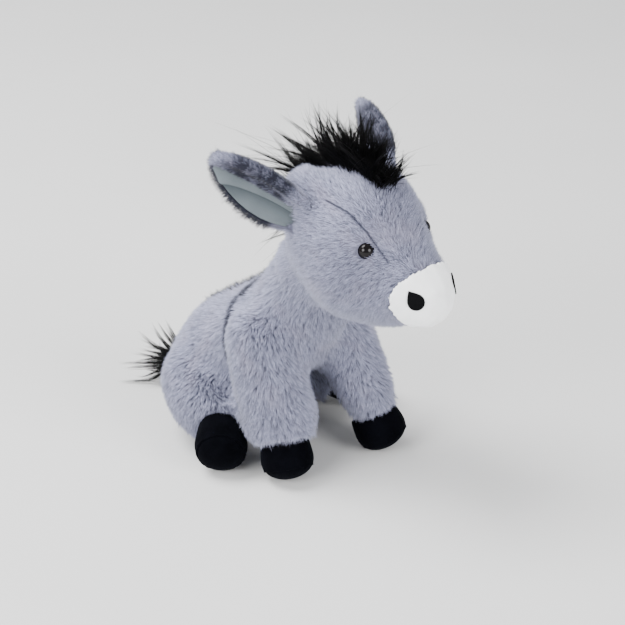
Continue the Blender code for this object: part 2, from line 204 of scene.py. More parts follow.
# %% Mesh helpers
def only(obj):
    """Selects one object and nothing else."""
    bpy.ops.object.select_all(action="DESELECT")
    obj.select_set(True)
    bpy.context.view_layer.objects.active = obj
    return obj


def finished(obj, kind, **settings):
    """Adds a modifier, sets it and applies it."""
    modifier = obj.modifiers.new(kind.title(), kind)
    for name, value in settings.items():
        setattr(modifier, name, value)
    only(obj)
    bpy.ops.object.modifier_apply(modifier=modifier.name)
    return obj


def read(obj, what="co"):
    """The vertices' places, or their normals, as an array of rows."""
    flat = np.empty(len(obj.data.vertices) * 3, np.float32)
    obj.data.vertices.foreach_get(what, flat)
    return flat.reshape(-1, 3).astype(float)


def write(obj, points):
    """Moves the vertices to new places, given as an array of rows."""
    obj.data.vertices.foreach_set("co", np.asarray(points, np.float32).ravel())
    obj.data.update()


def unit(rows):
    """The same ways with a length of one."""
    return rows / np.maximum(np.linalg.norm(rows, axis=-1, keepdims=True), 1e-12)


def copy_of(name, *nodes):
    """A new object from copies of CAD nodes, joined, with their loose triangles merged."""
    made = []
    for node in nodes:
        twin = bpy.data.objects.new(name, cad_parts[node].data.copy())
        bpy.context.scene.collection.objects.link(twin)
        made.append(twin)
    only(made[0])
    for twin in made[1:]:
        twin.select_set(True)
    if len(made) > 1:
        bpy.ops.object.join()
    piece = bpy.context.object
    bpy.ops.object.mode_set(mode="EDIT")
    bpy.ops.mesh.select_all(action="SELECT")
    bpy.ops.mesh.remove_doubles(threshold=0.01 * MM)
    bpy.ops.object.mode_set(mode="OBJECT")
    piece.data.materials.clear()
    return piece


def tree_of(*nodes):
    """A search tree over CAD nodes, for distances to their faces."""
    points, faces = [], []
    for node in nodes:
        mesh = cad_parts[node].data
        start = len(points)
        points += [vertex.co.copy() for vertex in mesh.vertices]
        faces += [[start + i for i in face.vertices] for face in mesh.polygons]
    return BVHTree.FromPolygons(points, faces)


def reach(tree, points):
    """How far each point is from the nearest face of a tree."""
    return np.array([tree.find_nearest(Vector(point))[3] for point in points])


def nearest_on(tree, points):
    """The place on the faces of a tree that is nearest to each point."""
    return np.array([tree.find_nearest(Vector(point))[0] for point in points])


def off_floor(obj, gap):
    """Lifts whatever lies lower than a gap above the floor."""
    points = read(obj)
    points[:, 2] = np.maximum(points[:, 2], gap)
    write(obj, points)


def ramp(values, low, high):
    """0 below low, 1 above high and a soft step between."""
    share = np.clip((values - low) / (high - low), 0, 1)
    return share * share * (3 - 2 * share)


def nearest_stretch(places, path, measure):
    """The least measure from places to the stretches of a path, and the share of it passed."""
    best, passed = np.full(len(places), FAR), np.zeros(len(places))
    stops = np.array(path, float)
    for k, (start, end) in enumerate(zip(stops[:-1], stops[1:])):
        run = end - start
        share = np.clip((places - start) @ run / (run @ run), 0, 1)
        distance = measure(places - start - share[:, None] * run)
        closer = distance < best
        best = np.where(closer, distance, best)
        passed = np.where(closer, (k + share) / (len(stops) - 1), passed)
    return best, passed


def along_path(points, path):
    """Distance in mm from mirrored points to a path."""
    place = points / MM
    place = np.stack([np.abs(place[:, 0] - MIDDLE / MM), place[:, 1], place[:, 2]], axis=1)
    return nearest_stretch(place, path, lambda off: np.linalg.norm(off, axis=1))[0]


print("mesh helpers ready")


# %% [markdown]
# ## The stuffed body
# A real toy of this kind is cut from plush, sewn inside out, turned and stuffed, so its panels
# bulge and its seams stay low. One way to get that is to sculpt it; here the computer does
# what the stuffing does. The CAD flesh solids are copied, fused into one skin, drawn in by
# the depth of the pile, and blown up by a cloth simulation while the seams are held.

# %% Where the seams and markings run
# A path is a few points (distance from the middle plane, y, z) in mm, used on both sides.
BROW_SEAM = ((34, -86, 231), (33, -95, 229), (31.5, -104, 227), (30, -114, 221), (27, -121, 214),
             (25, -129, 204), (23.5, -135, 197))
CROWN_SEAM = ((12, -62, 245), (25, -71, 245), (33, -77, 242), (36.5, -79.5, 237), (34, -86, 231))
FACE_SEAM = ((0, -122, 228), (0, -129, 220), (0, -141, 205), (0, -150, 195))
CHEST_SEAM = ((23, -71, 137), (21, -67, 128), (20, -64, 120), (19, -59, 109), (18.5, -55, 100))
NAPE_STRIPE = ((0, 0, 148), (8, 8, 138), (12, 12, 132), (17.5, 14, 129.5), (22.5, 18, 124), (26.5, 20, 120),
               (31, 20, 116), (35, 18, 111), (39, 16, 106), (42.5, 14, 99), (45, 11, 88), (46, 8, 76))
BACK_STRIPE = ((0, -8, 160), (0, 16, 132), (0, 40, 117), (0, 64, 101), (0, 76, 92), (0, 86, 80), (0, 92, 70),
               (0, 97, 60), (0, 99, 48), (0, 99, 36))

FLESH = ["trunk", "neck", "head", "tail"]
for side, _ in SIDES:
    FLESH += [f"foreleg_{side}", f"hindleg_{side}"]
HOOVES = [f"{end}_{part}_{side}" for side, _ in SIDES for end in ("fore", "hind")
          for part in ("hoof", "sole")]
tree = {node: tree_of(node) for node in FLESH + ["muzzle"]}
hooves_tree = tree_of(*HOOVES)
eyes_tree = tree_of("eye_right", "eye_left")
ears_tree = tree_of("ear_right", "ear_left")
linings_tree = tree_of("ear_lining_right", "ear_lining_left")
print(len(FLESH), "flesh nodes under one skin")


# %% [markdown]
# The copies are swollen a little, so that the fine gaps between the solids close, and voxel
# remeshed into one sheet of even quads, which is what cloth needs. The muzzle and the eyes
# are fused in too, so that the sheet runs on under them and has no holes or sharp rims.

# %% Fuse the skin
GAP_FILL = 0.8 * MM
SKIN_VOXEL = 3.6 * MM

skin = copy_of("plush_skin", *FLESH, "muzzle", "eye_right", "eye_left")
finished(skin, "DISPLACE", strength=GAP_FILL, mid_level=0)
finished(skin, "REMESH", mode="VOXEL", voxel_size=SKIN_VOXEL)
finished(skin, "SMOOTH", factor=0.5, iterations=4)
print("fused skin:", len(skin.data.vertices), "points")


# %% [markdown]
# The pile is deepest on the back and legs and shallow round the eyes, at the muzzle and at
# the cuffs. The skin moves in by that depth, and by a bit more where the stuffing will push
# it back out. It does not swell beside the hooves and the muzzle, where it is sewn to them.

# %% Draw the skin in by the depth of the pile
PILE = {"trunk": 5.0, "neck": 5.0, "head": 4.2, "tail": 3.4, "foreleg": 4.8, "hindleg": 4.8}
PILE_BLEND = 4 * MM               # distance over which one piece's pile goes over into the next
EDGE_PILE = 1.2                   # depth where a cuff meets a hoof, mm
CUFF_REACH = 12                   # mm from a hoof to the full depth
TRIMMED_EDGES = (                 # edge, part of the depth left there, mm to the full depth
    ("muzzle", 0.2, 7),
    ("eyes", 0.9, 4),
)
HEAD_SWELL, CROWN_SWELL = 2.4, 2.2  # how much the head and its crown are stuffed out, mm
CROWN_FROM, CROWN_FULL = 0.215, 0.238  # heights between which the crown's share sets in
OFF_HEAD, OFF_MUZZLE = (1, 6), (3, 20)  # mm over which the swelling ends or sets in
UNDER_MUZZLE = 2.5                # how much deeper the sheet lies under the muzzle, mm
UNDER_FROM, UNDER_FULL = -2.2, 0.8  # mm nearer to the muzzle than to the head
PUFF = 1.5                        # what the stuffing adds on average, mm
PUFF_REACH = 8                    # mm from a sewn edge to the full puff


def pile_depth(points, distances):
    """Depth of the pile in mm at each point, from the nearest nodes and the edges near by."""
    share = np.stack([np.exp(-distances[node] / PILE_BLEND) for node in FLESH])
    depths = np.array([PILE[node.split("_")[0]] for node in FLESH])
    depth = (share * depths[:, None]).sum(axis=0) / share.sum(axis=0)
    left = ramp(distances["hooves"] / MM, 0, CUFF_REACH)
    for edge, least, width in TRIMMED_EDGES:
        left = np.minimum(left, least + (1 - least) * ramp(distances[edge] / MM, 0, width))
    return EDGE_PILE + (depth - EDGE_PILE) * left


def distances_from(points):
    """How far each point is from each flesh node, the muzzle, the hooves and the eyes."""
    found = {node: reach(tree[node], points) for node in FLESH + ["muzzle"]}
    found["hooves"] = reach(hooves_tree, points)
    found["eyes"] = reach(eyes_tree, points)
    return found


points = read(skin)
around = distances_from(points)
under_muzzle = ramp((around["head"] - around["muzzle"]) / MM, UNDER_FROM, UNDER_FULL)
depth = pile_depth(points, around) + UNDER_MUZZLE * under_muzzle
swell = HEAD_SWELL + CROWN_SWELL * ramp(points[:, 2], CROWN_FROM, CROWN_FULL)
depth -= swell * (1 - ramp(around["head"] / MM, *OFF_HEAD)) * ramp(around["muzzle"] / MM, *OFF_MUZZLE)
puff = PUFF * ramp(np.minimum(around["hooves"], around["muzzle"]) / MM, 0, PUFF_REACH)
write(skin, points - read(skin, "normal") * ((depth + puff) * MM + GAP_FILL)[:, None])
finished(skin, "SMOOTH", factor=0.4, iterations=2)
print("pile depth in mm:", depth.min().round(1), "to", depth.max().round(1))


# %% [markdown]
# Now the stuffing. Points on a seam belong to the group that the Cloth modifier pins, and are
# first pulled in a little. Pressure then swells the panels between them, as filling
# does. No point may go further than a set distance, so the toy keeps its size.

# %% Stuff it
SEAM_REACH = 2.6                  # mm to either side of a seam that is sewn down
LINE_REACH = SEAM_REACH + PUFF + 3  # the same from a seam's line, which lies above the skin
LINE_ABOVE = 4                    # how far above the skin it lies, mm
CREASE = 3                        # half width of the crease that a seam draws in, mm
SEAM_PULLS = (                    # seam, mm that its thread draws the skin in
    (BROW_SEAM, 0.9),
    (CROWN_SEAM, 1.6),
    (FACE_SEAM, 0.8),
    (CHEST_SEAM, 2.6),
)
SEWN_EDGES = (("hooves", 3.0), ("muzzle", 3.0), ("eyes", 2.0))  # edge, mm round it
SOCKET_PULL = 0.4                 # mm that the thread of a bead eye draws the head in
SOCKET_REACH = 6.0                # mm round the eye over which it does
MOST_PUFF = 2.6 * MM
PRESSURE = 4.0
STUFFING_STEPS = 20
SKIN_OFF_FLOOR, CLOTH_OFF_FLOOR = 0.4 * MM, 0.1 * MM


def stuffed(obj, sewn, most):
    """Blows a closed sheet up by cloth simulation, holding its sewn points."""
    rest = read(obj)
    group = obj.vertex_groups.new(name="sewn")
    group.add(np.flatnonzero(sewn).tolist(), 1.0, "REPLACE")
    cloth = obj.modifiers.new("Stuffing", "CLOTH")
    cloth.settings.use_pressure = True
    cloth.settings.uniform_pressure_force = PRESSURE
    cloth.settings.effector_weights.gravity = 0
    cloth.settings.vertex_group_mass = group.name
    cloth.point_cache.frame_start, cloth.point_cache.frame_end = 1, STUFFING_STEPS
    for step in range(1, STUFFING_STEPS + 1):
        bpy.context.scene.frame_set(step)
    only(obj)
    bpy.ops.object.modifier_apply(modifier=cloth.name)
    bpy.context.scene.frame_set(1)
    moved = read(obj) - rest
    length = np.linalg.norm(moved, axis=1, keepdims=True)
    write(obj, rest + moved * np.minimum(1, most / np.maximum(length, 1e-9)))
    obj.vertex_groups.clear()
    return obj


flesh_near = np.sort(np.stack([around[node] for node in FLESH]), axis=0)
sewn = flesh_near[1] - flesh_near[0] < SEAM_REACH * MM
for edge, width in SEWN_EDGES:
    sewn |= around[edge] < width * MM
points = read(skin)
pulled = SOCKET_PULL * np.exp(-(around["eyes"] / MM / SOCKET_REACH) ** 2)
for seam, pull in SEAM_PULLS:
    aside = along_path(points, seam)
    sewn |= aside < LINE_REACH
    pulled = np.maximum(pulled, pull * np.exp(-((aside - LINE_ABOVE) / CREASE).clip(0) ** 2))
write(skin, points - read(skin, "normal") * (pulled * MM)[:, None])
stuffed(skin, sewn, MOST_PUFF)
finished(skin, "SUBSURF", levels=1, render_levels=1)
off_floor(skin, SKIN_OFF_FLOOR)
print("skin:", len(skin.data.polygons), "faces,", int(sewn.sum()), "sewn points")


# %% [markdown]
# ## What the surfaces are made of
# The pile's colour is not an image: every tuft carries three numbers in its mesh, how far a
# point is from root to tip, a tint of its own and how dark its markings and the brow seam's
# painted shade make it, and one material reads them for the skin, the body coat and the ears.
# The root end is much darker than the tip: that is painted shade, standing in for the shadow
# deep in the pile.

# %% Plush
# The root colour is painted shade: it stands in for the shadow deep in the pile.
PILE_SHADED_ROOT = (0.055, 0.058, 0.088, 1)
PILE_TIP = (0.49, 0.508, 0.695, 1)
PILE_DARK = (0.012, 0.013, 0.024, 1)
PILE_DUST = (0.46, 0.43, 0.55, 1)         # the warmer cast that patches of the pile have


def make_plush(name, root, tip):
    """Plush that turns from one colour at a tuft's root to another at its tip; the dark root colour is
    painted shade.
    """
    plush, shader = new_material(name, 0.85, Sheen_Weight=0.12, Sheen_Roughness=0.5,
                                 Specular_IOR_Level=0.15)
    height, tint, marking = (carried(plush, name) for name in ("height", "tint", "marking"))
    # Painted shade: darker towards each tuft's root.
    colour = between(plush, height, root, tip)
    patches = ranged(plush, noise(plush, 45, 2), 0.52, 0.75, 0, 0.35)
    colour = between(plush, patches, colour, PILE_DUST)
    grain = ranged(plush, noise(plush, 750, 2), 0.3, 0.7, 0.86, 1.08)
    shade_of = shade(plush, "ShaderNodeMath", {0: tint, 1: grain}, operation="MULTIPLY").outputs[0]
    darker = shade(plush, "ShaderNodeHueSaturation", {"Color": colour, "Value": shade_of})
    colour = between(plush, marking, darker.outputs[0], PILE_DARK)
    painted(plush, shader, colour)
    fluff = noise(plush, 900, 3, stretch=(1, 1, 0.5))
    bumped(plush, shader, fluff, 0.3, 0.6 * MM)
    return plush


pile_plush = make_plush("grey_plush_pile", PILE_SHADED_ROOT, PILE_TIP)
print("plush reads height, tint and marking")


# %% [markdown]
# The muzzle is cut from a much shorter white plush that looks smooth from a step away; a fine
# two-scale bump and a faint mottle are enough. The hooves are black cloth with a dense nap
# that takes a little sheen on its flanks.

# %% White nap and black hoof cloth
white_nap, white_shader = new_material("white_nap", 0.9, Sheen_Weight=0.3, Specular_IOR_Level=0.2)
mottle = ranged(white_nap, noise(white_nap, 160, 3), 0.3, 0.7)
white_colour = between(white_nap, mottle, (0.90, 0.915, 0.93, 1), (0.97, 0.98, 0.99, 1))
painted(white_nap, white_shader, white_colour)
bumped(white_nap, white_shader, noise(white_nap, 1500, 4), 0.35, 0.25 * MM)

hoof_cloth, hoof_shader = new_material("hoof_cloth", 0.92, Sheen_Weight=0.02, Sheen_Roughness=0.4,
                                       Specular_IOR_Level=0.02, Sheen_Tint=(0.45, 0.5, 0.7, 1))
wear = ranged(hoof_cloth, noise(hoof_cloth, 70, 4), 0.35, 0.75)
hoof_colour = between(hoof_cloth, wear, (0.0007, 0.0008, 0.0014, 1), (0.0018, 0.002, 0.0034, 1))
painted(hoof_cloth, hoof_shader, hoof_colour)
bumped(hoof_cloth, hoof_shader, noise(hoof_cloth, 1800, 3), 0.4, 0.2 * MM)
print("white nap and hoof cloth ready")


# %% [markdown]
# The ear lining is a woven cloth with fine ribs that run across the ear. Its mesh carries the
# distance along and across the ear, so the ribs follow the ear and not the room. Hair and
# thread are glossier than cloth, and the bead eyes are hard, clear coated plastic.

# %% Lining, hair, thread and bead
RIB = 0.8 * MM
RIB_WAVE, THREAD_WAVE = RIB * 3.18, RIB * 1.6   # give bands a rib and half a rib apart


def waves(material, vector, scale, distortion, direction, **more):
    """Bands of light and dark across one direction."""
    settings = {"Vector": vector, "Scale": scale, "Distortion": distortion, **more}
    return shade(material, "ShaderNodeTexWave", settings, bands_direction=direction).outputs["Fac"]


lining_cloth, lining_shader = new_material("lining_cloth", 0.85, Specular_IOR_Level=0.2,
                                           Sheen_Weight=0.1)
weave = carried(lining_cloth, "weave", "Vector")
ribs = waves(lining_cloth, weave, 1 / RIB_WAVE, 0.6, "X")
threads = waves(lining_cloth, weave, 1 / THREAD_WAVE, 0.4, "Y")
soft_dirt = ranged(lining_cloth, noise(lining_cloth, 60, 3), 0.3, 0.75)
lining_colour = between(lining_cloth, soft_dirt, (0.138, 0.162, 0.178, 1), (0.10, 0.119, 0.132, 1))
lining_colour = between(lining_cloth, ranged(lining_cloth, ribs, 0, 1, 0, 0.4), lining_colour,
                        (0.055, 0.068, 0.078, 1))
# Painted shadow under the pleat's fold, as much as the mesh's fold number says.
lining_colour = between(lining_cloth, carried(lining_cloth, "fold"), lining_colour,
                        (0.045, 0.056, 0.065, 1))
painted(lining_cloth, lining_shader, lining_colour)
weave_height = shade(lining_cloth, "ShaderNodeMath", {0: ribs, 1: threads}, operation="ADD").outputs[0]
bumped(lining_cloth, lining_shader, weave_height, 0.4, 0.15 * MM)

black_hair, hair_shader = new_material("black_hair", 0.5, Specular_IOR_Level=0.1)
hair_colour = between(black_hair, carried(black_hair, "tint"), (0.0006, 0.0006, 0.0008, 1),
                      (0.004, 0.0037, 0.004, 1))
painted(black_hair, hair_shader, hair_colour)
bumped(black_hair, hair_shader, noise(black_hair, 600, 2), 0.1, 0.1 * MM)

black_thread, thread_shader = new_material("black_thread", 0.7, Specular_IOR_Level=0.04)
thread_place = shade(black_thread, "ShaderNodeTexCoord").outputs["Object"]
strands_over = waves(black_thread, thread_place, 420.0, 1.2, "Z", Detail=1.0)
thread_colour = between(black_thread, strands_over, (0.0008, 0.0008, 0.001, 1), (0.005, 0.005, 0.006, 1))
painted(black_thread, thread_shader, thread_colour)
bumped(black_thread, thread_shader, strands_over, 0.6, 0.25 * MM)

eye_bead, bead_shader = new_material("eye_bead", 0.06, Coat_Weight=0.1, Coat_Roughness=0.03,
                                     Specular_IOR_Level=0.18)
bead_depth = ranged(eye_bead, noise(eye_bead, 90, 2), 0.35, 0.7)
bead_colour = between(eye_bead, bead_depth, (0.0015, 0.0013, 0.0015, 1), (0.006, 0.004, 0.004, 1))
painted(eye_bead, bead_shader, bead_colour)
bead_polish = ranged(eye_bead, noise(eye_bead, 300, 3), 0.3, 0.8, 0.04, 0.12)
eye_bead.node_tree.links.new(bead_polish, bead_shader.inputs["Roughness"])
print("materials:", len(bpy.data.materials))


# %% [markdown]
# A small helper writes a number for each vertex into the mesh under the names that the
# materials read.

# %% Numbers on a mesh
def carry(obj, **columns):
    """Stores arrays on the vertices: one number, or three for a vector."""
    for name, values in columns.items():
        values = np.asarray(values, np.float32)
        kind, slot = ("FLOAT", "value") if values.ndim == 1 else ("FLOAT_VECTOR", "vector")
        attribute = obj.data.attributes.new(name, kind, "POINT")
        attribute.data.foreach_set(slot, values.ravel())
    return obj


def dress(obj, material):
    """Gives a finished piece its material, smooth shading and its body."""
    obj.data.materials.clear()
    obj.data.materials.append(material)
    obj.data.shade_smooth()
    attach(obj, "root")
    return obj


print("dressing helpers ready")


# %% [markdown]
# ## Muzzle, hooves and soles
# These are stuffed cloth too, so they take the same steps on a finer grain: copy, remesh, draw
# in, pin the seams, blow up. The edges between a hoof's wall and its sole, and between
# the muzzle and the head, come out as soft valleys, as sewn edges do.

# %% Small stuffed pieces
PUCKER = 0.45                      # mm that the thread puckers a seam
PUCKER_GRAIN = 2.6 * MM
WAIST = 1.7 * MM                   # how far the seam round a sole draws the hoof in
WAIST_REACH = 4.5 * MM             # distance from the seam over which it does
SOLE_OVERLAP = 0.9 * MM            # how far hoof and sole go into each other at their seam
MUZZLE_OVERLAP = 0.9 * MM          # how far the muzzle's edge is turned in behind its seam
SEWN_WIDTH = 0.9 * MM              # how wide the sewn down edge of a small piece is
MUZZLE_GRAIN = (1.0 * MM, -1.0 * MM, 1.0 * MM)   # voxel, drawn in by, most that it swells
HOOF_GRAIN = (1.5 * MM, 0.2 * MM, 2.0 * MM)
FORWARD = np.array([0, -1.0, 0])


def small_stuffed(name, node, grain, seam_to, waist, axis, overlap):
    """A stuffed piece from one CAD node, sewn down and drawn in where it meets its neighbour."""
    voxel, draw_in, most = grain
    piece = copy_of(name, node)
    finished(piece, "REMESH", mode="VOXEL", voxel_size=voxel)
    finished(piece, "SMOOTH", factor=0.5, iterations=2)
    points = read(piece)
    seam_distance = reach(seam_to, points)
    near = np.exp(-(seam_distance / SEWN_WIDTH / 2) ** 2)
    pucker = np.array([soft_noise.noise(Vector(point / PUCKER_GRAIN)) for point in points])
    drawn = draw_in + near * pucker * PUCKER * MM
    normals = read(piece, "normal")
    sideways = normals - np.outer(normals @ axis, axis)
    by_seam = np.exp(-(seam_distance / WAIST_REACH) ** 2)
    points = points - normals * drawn[:, None] - sideways * (waist * by_seam)[:, None]
    write(piece, points - np.outer(overlap * by_seam, axis))
    stuffed(piece, seam_distance < SEWN_WIDTH, most)
    finished(piece, "SUBSURF", levels=1, render_levels=1)
    off_floor(piece, CLOTH_OFF_FLOOR)
    return piece


muzzle = small_stuffed("muzzle_cap", "muzzle", MUZZLE_GRAIN, tree["head"], 0, FORWARD, MUZZLE_OVERLAP)
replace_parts(dress(muzzle, white_nap), "muzzle")

for side, _ in SIDES:
    for end in ("fore", "hind"):
        hoof, sole = f"{end}_hoof_{side}", f"{end}_sole_{side}"
        axis = unit(read(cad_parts[sole]).mean(axis=0) - read(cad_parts[hoof]).mean(axis=0))
        for node, other, overlap in ((hoof, sole, -SOLE_OVERLAP), (sole, hoof, SOLE_OVERLAP)):
            piece = small_stuffed(f"{node}_cloth", node, HOOF_GRAIN, tree_of(other), WAIST, axis, overlap)
            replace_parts(dress(piece, hoof_cloth), node)
print("muzzle:", len(muzzle.data.polygons), "faces; last sole:", len(piece.data.polygons))


# %% [markdown]
# ## Nostrils and eyes
# The nostrils are satin stitched: thread laid side by side over a drop shape until it stands
# a little proud. The solid already has that shape, so a fine remesh rounds its edges.
# The eyes are safety beads, plain spheres with a washer behind. The washer pulls each bead
# a little way into the plush, so that the pile closes over its rim.

# %% Nostrils and eyes
EYE_SINK = 3.5 * MM               # how far the washer pulls a bead in
NOSTRIL_PROUD = 0.7               # how far the thread stands out with the stuffed muzzle, mm
bead_places = {}
for side, _ in SIDES:
    nostril = copy_of(f"nostril_thread_{side}", f"nostril_{side}")
    finished(nostril, "REMESH", mode="VOXEL", voxel_size=0.3 * MM)
    finished(nostril, "SMOOTH", factor=0.5, iterations=4)
    finished(nostril, "DISPLACE", strength=0.15 * MM, mid_level=0)
    place = read(nostril)
    out_of_cap = np.array(tree["muzzle"].find_nearest(Vector(place.mean(axis=0)))[1])
    write(nostril, place + out_of_cap * NOSTRIL_PROUD * MM)
    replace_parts(dress(nostril, black_thread), f"nostril_{side}")

    low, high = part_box(f"eye_{side}")
    centre, radius = (low + high) / 2, (high.z - low.z) / 2
    out_of_head = tree["head"].find_nearest(centre)[1]
    bead_places[side] = (centre - out_of_head * EYE_SINK, radius)
    bpy.ops.object.select_all(action="DESELECT")
    bpy.ops.mesh.primitive_uv_sphere_add(segments=40, ring_count=24, radius=radius,
                                         location=bead_places[side][0])
    bead = bpy.context.object
    bead.name = f"eye_bead_{side}"
    bpy.ops.object.transform_apply(location=True, rotation=True, scale=True)
    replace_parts(dress(bead, eye_bead), f"eye_{side}")
print("bead radius in mm:", round(radius / MM, 2))


# %% [markdown]
# ## Ears
# An ear is a leaf of plush with a leaf of woven cloth sewn to its face. Both are wanted in the
# ear's own directions, from root to tip, across, and out of the open side, so these are
# measured first from the solids.

# %% The ear's own directions
ROOT_NEAR = 3 * MM                 # points this near to the head are the ear's root


def ear_axes(side):
    """Root point, length, and the ways along, across and out of the ear's open side."""
    ear = read(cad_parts[f"ear_{side}"])
    lining = read(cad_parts[f"ear_lining_{side}"])
    skull = np.array((head_low + head_high) / 2)
    tip = ear[np.argmax(np.linalg.norm(ear - skull, axis=1))]
    root = ear[reach(tree["head"], ear) < ROOT_NEAR].mean(axis=0)
    along = unit(tip - root)
    face = lining.mean(axis=0) - ear.mean(axis=0)
    face = unit(face - along * (face @ along))
    across = np.cross(along, face)
    across *= np.sign(across[2])
    return root, np.linalg.norm(tip - root), along, across, face


EAR_AXES = {side: ear_axes(side) for side, _ in SIDES}


def in_ear(points, side):
    """Places in the ear's own directions: share from root to tip, mm across, mm out."""
    root, length, along, across, face = EAR_AXES[side]
    offset = points - root
    return offset @ along / length, offset @ across / MM, offset @ face / MM


for side, _ in SIDES:
    print("ear", side, "is", round(EAR_AXES[side][1] / MM, 1), "mm long")


# %% [markdown]
# The plush leaf is thinned by the depth of its pile, and its root is pushed into the head so
# that it is sewn in rather than glued on. Its upper edge is rolled forward over the lining,
# so a broad band of plush shows above the cloth: the inner face of the wall is pushed out
# past the cloth above a line that drops towards the tip.

# %% Plush leaves
EAR_PILE = 1.6                     # depth of the short pile on the ears, mm
ROOT_SINK = 7 * MM                 # how far the ear's root goes into the head
ROOT_REACH = 7                     # mm from the head over which it does
ROLL = 5.4                         # how far the rolled edge is pushed out past the wall, mm
ROLL_EDGE = 2.6                    # mm over which the roll rises
ROLL_LINE, ROLL_DROP = -4.5, 5.0   # mm across where the roll ends at the root, and its drop


def sunk_root(points, side):
    """Pushes the part nearest to the head into it along the ear."""
    near = 1 - ramp(reach(tree["head"], points) / MM, 0, ROOT_REACH)
    return points - EAR_AXES[side][2] * (near * ROOT_SINK)[:, None]


def roll_line(share):
    """Where the rolled plush ends across the ear, in mm, at a share of the ear's length."""
    return ROLL_LINE - ROLL_DROP * np.maximum(share, 0) ** 3


ears, lining_tree = {}, {}
for side, _ in SIDES:
    lining_tree[side] = tree_of(f"ear_lining_{side}")
    ear = copy_of(f"ear_plush_{side}", f"ear_{side}")
    finished(ear, "REMESH", mode="VOXEL", voxel_size=1.2 * MM)
    finished(ear, "SMOOTH", factor=0.5, iterations=4)
    points, normals = read(ear), read(ear, "normal")
    gap = nearest_on(lining_tree[side], points) - points
    inner = ramp((unit(gap) * normals).sum(axis=1), 0.0, 0.6)
    inner *= 1 - ramp(np.linalg.norm(gap, axis=1) / MM, 3, 9)
    share, across, _ = in_ear(points, side)
    rolled = inner * ramp(across - roll_line(share), 0, ROLL_EDGE) * (1 - ramp(share, 0.9, 1.0))
    write(ear, points + normals * ((rolled * ROLL - EAR_PILE) * MM)[:, None])
    finished(ear, "SMOOTH", factor=0.5, iterations=2)
    write(ear, sunk_root(read(ear), side))
    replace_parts(ear, f"ear_{side}")
    ears[side] = ear
print("ear leaf:", len(ear.data.polygons), "faces")


# %% [markdown]
# The lining gets the long pleat that stiffens a toy's ear: the upper part of the cloth is
# folded over the lower, so the surface rises slowly from above and drops suddenly at the
# fold. Below the fold the cloth reaches down to the rim, bent round the same curve as the
# leaf behind it, and just under the fold it is darkened with painted shadow.

# %% Linings
PLEAT_RISE = 2.4                   # height of the fold, mm
PLEAT_FADE = 4.5                   # mm over which the fold flattens out above
PLEAT_LINE, PLEAT_DROP = -5.5, 9.5  # mm across where the fold is at the root, and its drop
FOLD_SHADE = 9.0                   # mm below the fold over which the painted shadow fades
FOLD_DARK = 0.75                   # how dark the painted shadow is right under the fold
LOWER_STRETCH = 1.12               # how much wider the lower half is than the solid
LOWER_BEND = 25.0                  # radius of the cup's lower half, mm


def pleat_line(share):
    """Height of the fold across the ear, in mm, at a share of the ear's length."""
    return PLEAT_LINE - PLEAT_DROP * np.maximum(share, 0) ** 2


def cup_depth(across):
    """How far the cup's lower half stands out at a distance across it."""
    return LOWER_BEND - np.sqrt(LOWER_BEND ** 2 - np.minimum(np.abs(across), LOWER_BEND - 2) ** 2)


for side, _ in SIDES:
    lining = copy_of(f"ear_lining_cloth_{side}", f"ear_lining_{side}")
    finished(lining, "REMESH", mode="VOXEL", voxel_size=0.55 * MM)
    finished(lining, "SMOOTH", factor=0.5, iterations=6)
    points = read(lining)
    _, length, _, over_ear, away = EAR_AXES[side]
    share, across, out = in_ear(points, side)
    lower = np.minimum(across, 0)
    wider = lower * LOWER_STRETCH
    points = points + over_ear * ((wider - lower) * MM)[:, None]
    points = points + away * ((cup_depth(wider) - cup_depth(lower)) * MM)[:, None]
    over = across - lower + wider - pleat_line(share)
    fold = np.where(over > 0, np.exp(-(over / PLEAT_FADE) ** 1.5), 1 - ramp(-over, 0, 1.0))
    fold *= ramp(share, 0.95, 0.7)
    write(lining, sunk_root(points + away * (fold * PLEAT_RISE * MM)[:, None], side))
    # Painted shadow: the cloth just under the fold is darkened, fading towards the rim.
    below = ramp(-over, 0.0, 0.8) * (1 - ramp(-over, 0.8, FOLD_SHADE)) * ramp(share, 1.0, 0.8)
    weave_place = np.stack([share * length, across * MM, out * MM], axis=1)
    carry(lining, weave=weave_place, fold=FOLD_DARK * below)
    dress(lining, lining_cloth)
    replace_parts(lining, f"ear_lining_{side}")
print("lining:", len(lining.data.polygons), "faces")


# %% [markdown]
# ## The coat
# Particle hair would be the usual way to grow pile in Blender, but it is lost when a model is
# exported. Here each tuft is a slim closed spike of four faces, and all tufts of a
# region are one mesh, made with arrays because there are hundreds of thousands of them.
# First come the fields that the pile follows over the skin: which way it lies, how far it
# leans, how long it is, and where it is dark.

# %% Which way the pile lies
NOSE_TOP = np.array((MIDDLE, -0.165, 0.185))
RUFFLES = ((12 * MM, 0.45), (5 * MM, 0.50))     # grain and strength of the tousling
LEAN, HEAD_LEAN = 50.0, 42.0        # degrees from standing straight up
CUFF_LEAN, MUZZLE_LEAN = 77.0, 66.0
CUFF_FROM, CUFF_TO = 2, 14          # mm from a hoof over which the pile lifts off it
LEAN_REACH = 8                      # mm over which it does so by the muzzle, and by the head
LIE_BLEND = 5 * MM                  # distance over which one piece's lie turns into the next
SEAM_TRIM = 0.72                    # part of the pile's length that is left in a seam
TRIM_REACH = 5                      # mm from the seam to the full length
TRIMMED_SEAMS = ((BROW_SEAM, 4), (CROWN_SEAM, 4), (CHEST_SEAM, 5))   # seam, mm to its line


def ruffled(points):
    """A soft random direction that turns slowly over the skin."""
    turn = np.zeros(points.shape)
    for grain, strength in RUFFLES:
        turn += strength * np.array([soft_noise.noise_vector(Vector(point / grain)) for point in points])
    return turn


